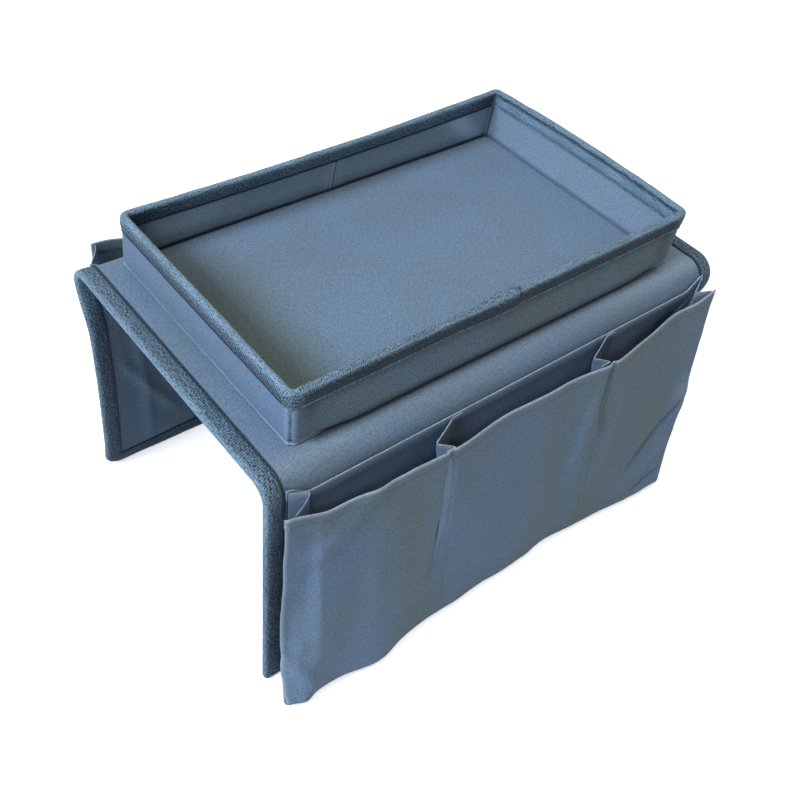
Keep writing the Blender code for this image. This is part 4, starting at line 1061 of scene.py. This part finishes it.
# Each ply's place on the back panel, how far its crease stands to the side and its share of the way from back
# to front, its place on the front cloth, its top at the back, and its allowances at the back and front
PLEATS = (
    ("gusset", "left", -GUSSET_PLACE, 12.0, 0.35, FRONT_LEFT + 7, GUSSET_TOP, 0, 0),
    ("gusset", "right", GUSSET_PLACE, -9.5, 0.6, FRONT_RIGHT - 2.5, GUSSET_TOP, 0, 0),
    *[("divider", label, place, -19.0, 0.55, place - FRONT_STITCH_SHIFT, DIVIDER_TOP, ALLOWANCE, -ALLOWANCE)
      for label, place in DIVIDERS],
)


def pleat_piece(side, row, kind, label, back_u, crease, across, front_u, back_top, back_turn, front_turn):
    """One bellows ply, drawn level by level as a line from the back panel over its crease to the front."""
    share = np.linspace(0, 1, PLEAT_LEVELS)[:, None]
    low_front = row.underside(front_u, row.foot(front_u) - 7) + 3
    high_front = row.hem_height(front_u) - 0.5
    front_z = low_front + (high_front - low_front) * share
    front_v = row.out(front_u, front_z) - np.where(share > 0.94, 1.9, 1.3)
    front_place = row.drawn(front_u, front_z)
    back_v = HEM_LAYER + GAP + CLOTH / 2
    middle = back_v + (front_v - back_v) * across
    middle_u = back_u + crease * (0.55 + 0.45 * share)
    corners_u = np.concatenate([back_u + back_turn + 0 * share, back_u + 0 * share, middle_u, front_place,
                                front_place + front_turn], 1)
    corners_v = np.concatenate([back_v + 0 * share, back_v + 0 * share, middle, front_v, front_v - 0.2], 1)
    lengths = np.hypot(np.diff(corners_u, axis=1), np.diff(corners_v, axis=1))
    for column, turn in ((0, back_turn), (-1, front_turn)):
        if not turn:
            lengths[:, column] = 1e-6
    u, v = np.empty((2, PLEAT_LEVELS, PLEAT_COLUMNS))
    for level in range(PLEAT_LEVELS):
        reach = np.concatenate([[0], np.cumsum(lengths[level])])
        at = np.linspace(0, reach[-1], PLEAT_COLUMNS)
        u[level] = np.interp(at, reach, corners_u[level])
        v[level] = np.interp(at, reach, corners_v[level])
    for _ in range(3):
        for line in (u, v):
            line[:, 1:-1] = (line[:, :-2] + 2 * line[:, 1:-1] + line[:, 2:]) / 4
    reach = np.clip((v - back_v) / np.maximum(front_v - back_v, 0.1), 0, 1)
    low = row.underside(u, v) + 1.2
    high = back_top + (high_front - back_top) * reach
    z = low + (high - low) * share
    left_gusset = back_u < -DIVIDERS[1][1]
    bulge = 0.9 * ripple(reach * 30, z, 26, 71) + 0.3 * ripple(reach * 30, z, 9, 72)
    swell = 2.2 * left_gusset * np.sin(math.pi * np.clip((reach - across) / (1 - across), 0, 1))
    u = u + np.sin(math.pi * reach) * bulge + swell
    steps = [np.diff(line, axis=1, prepend=line[:, :1]) for line in (u, v)]
    deep = np.cumsum(np.hypot(*steps), axis=1)
    # Paler all over and along the top edge; painted shade over the left gussets' front half and over the
    # dividers' back half below their top
    wear_and_highlight = 0.28 + 0.6 * bump((1 - share) * (high - low), 0, 0.9) * (0.6 + 0.4 * reach)
    dusk = 0.5 * smooth((reach - across) / 0.2) * left_gusset
    behind = (1 - smooth((reach - across + 0.1) / 0.2)) * smooth((high - z - 1) / 2)
    middle = flap_place(row.facing, u, v, z)
    piece = cloth_piece(f"{side}_{kind}_cloth_{label}", middle, (deep, z), SLATE_OXFORD, wear_and_highlight, -0.5,
                        dusk + 0.75 * bool(back_turn) * behind)
    start, end = (flap_place(row.facing, 0.0, at, 100.0) * 0.001 for at in (back_v, float(front_v[-1, 0])))
    declare(piece, (f"{side}_flap", f"{side}_pocket", start, end),
            [f"{side}_{kind}_{label}"])


for side, row in ROWS.items():
    for pleat in PLEATS:
        pleat_piece(side, row, *pleat)

# Stitching: lockstitch in slate thread, sunk in the grooves of the bindings, along the hems, down the
# dividers. A short tack at the left end of each front cloth is in paler thread.

STITCH_SPACING = 3.4
STITCH_LENGTH = 2.7
THREAD_RADIUS = 0.19
BACK_THREAD_OUT = 1.36
FRONT_THREAD_OUT = 0.3
TACK_OUT = 0.35
TACK_DROP = 13


def thread_look(name, dark, light):
    """Twisted polyester thread, with its two plies lying at a slant."""
    made, tree, shader = new_look(name)
    place = add(tree, "TexCoord").outputs["Object"]
    twist = add(tree, "TexWave", {0: place, "Scale": 900.0, "Distortion": 2.0},
                bands_direction="DIAGONAL").outputs["Fac"]
    tone = add(tree, "Mix", {0: twist, 6: linear(dark), 7: linear(light)}, data_type="RGBA")
    relief = add(tree, "Bump", {"Strength": 0.4, "Distance": 0.00008, "Height": twist})
    plug(tree, shader, {"Base Color": tone, "Normal": relief, "Roughness": 0.6})
    return made


THREAD = thread_look("slate_thread", "#2c4152", "#62798b")
PALE_THREAD = thread_look("pale_thread", "#8fa3b4", "#b4c4d0")

stitches, given = new_growth("lockstitches", ("Stitch Spacing", "Stitch Length", "Thread Radius"))
line = add(stitches, "GeometryNodeMeshToCurve", {"Mesh": given["Geometry"]})
line = add(stitches, "GeometryNodeResampleCurve", {"Curve": line, "Length": given["Stitch Spacing"]},
           mode="LENGTH")
lump = add(stitches, "GeometryNodeMeshUVSphere", {"Segments": 6, "Rings": 4, "Radius": 1.0})
turned_to = add(stitches, "FunctionNodeAlignRotationToVector",
                {"Vector": add(stitches, "GeometryNodeInputTangent")}, axis="Z")
half = add(stitches, "Math", {0: given["Stitch Length"], 1: 0.5}, operation="MULTIPLY")
size = add(stitches, "CombineXYZ", {0: given["Thread Radius"], 1: given["Thread Radius"], 2: half})
end_growth(stitches, given, add(stitches, "GeometryNodeInstanceOnPoints", {
    "Points": line, "Instance": lump, "Rotation": turned_to, "Scale": size}))


def stitched(name, lines, body, thread=THREAD):
    """Rows of stitches along lines of points, as one plain mesh on a body."""
    points, edges = [], []
    for line in lines:
        first = len(points)
        points.extend((line * 0.001).tolist())
        edges.extend([(first + step, first + step + 1) for step in range(len(line) - 1)])
    mesh = bpy.data.meshes.new(name)
    mesh.from_pydata(points, edges, [])
    made = grown(placed(name, mesh), stitches, {
        "Stitch Spacing": STITCH_SPACING * 0.001, "Stitch Length": STITCH_LENGTH * 0.001,
        "Thread Radius": THREAD_RADIUS * 0.001, "Finish": thread})
    made.data.polygons.foreach_set("use_smooth", [True] * len(made.data.polygons))
    declare(made, body)


def on_front(row, u, z, proud=FRONT_THREAD_OUT):
    """A place just outside a row's front cloth."""
    return flap_place(row.facing, row.drawn(u, z), row.out(u, z) + proud, z)


for side, facing, radius in SIDES:
    row = ROWS[side]
    u, w = edge_line([GROOVE], radius)
    stitched(f"{side}_binding_stitches", [wrap(facing, u[:, 0], w[:, 0], face) for face in GROOVE_FACES],
             over_fold(side, facing))
    u = np.linspace(-POCKET_HALF + 2, POCKET_HALF - 2, 120)
    lines = [flap_place(facing, u, BACK_THREAD_OUT, back_hem(u) - HEM_WIDTH + 1)]
    stitched(f"{side}_back_stitches", lines, f"{side}_flap")
    u = np.linspace(FRONT_LEFT + 3, FRONT_RIGHT - 3, 160)
    lines = [on_front(row, u, row.hem_height(u) - HEM_WIDTH + 1)]
    for _, place in DIVIDERS:
        u = place - FRONT_STITCH_SHIFT + 2
        lines.append(on_front(row, u, np.linspace(16, float(row.hem_height(u)) - 2, 80)))
    stitched(f"{side}_front_stitches", lines, f"{side}_pocket")
    u = np.linspace(FRONT_LEFT + 9, FRONT_LEFT + 18, 8)
    lines = [on_front(row, u, row.hem_height(u) - TACK_DROP, TACK_OUT)]
    stitched(f"{side}_front_tack", lines, f"{side}_pocket", PALE_THREAD)

lines = []
y = np.linspace(-SADDLE_REACH + 1, SADDLE_REACH - 1, 60)
for end in (-1, 1):
    for face in GROOVE_FACES:
        lines.append(np.stack([end * (HALF_LENGTH - GROOVE) + 0 * y, y, SADDLE_HEIGHT + face + 0 * y], -1))
for inset in (-GROOVE_FACES[0], SKIN + GROOVE_FACES[0]):
    ring = tray_path([inset], [RIM_TOP - GROOVE], 0, RIM_START, 2.0)[0][:, 0]
    lines.append(np.concatenate([ring, np.full((len(ring), 1), SADDLE_HEIGHT + RIM_TOP - GROOVE)], 1))
stitched("saddle_and_rim_stitches", lines, "saddle")
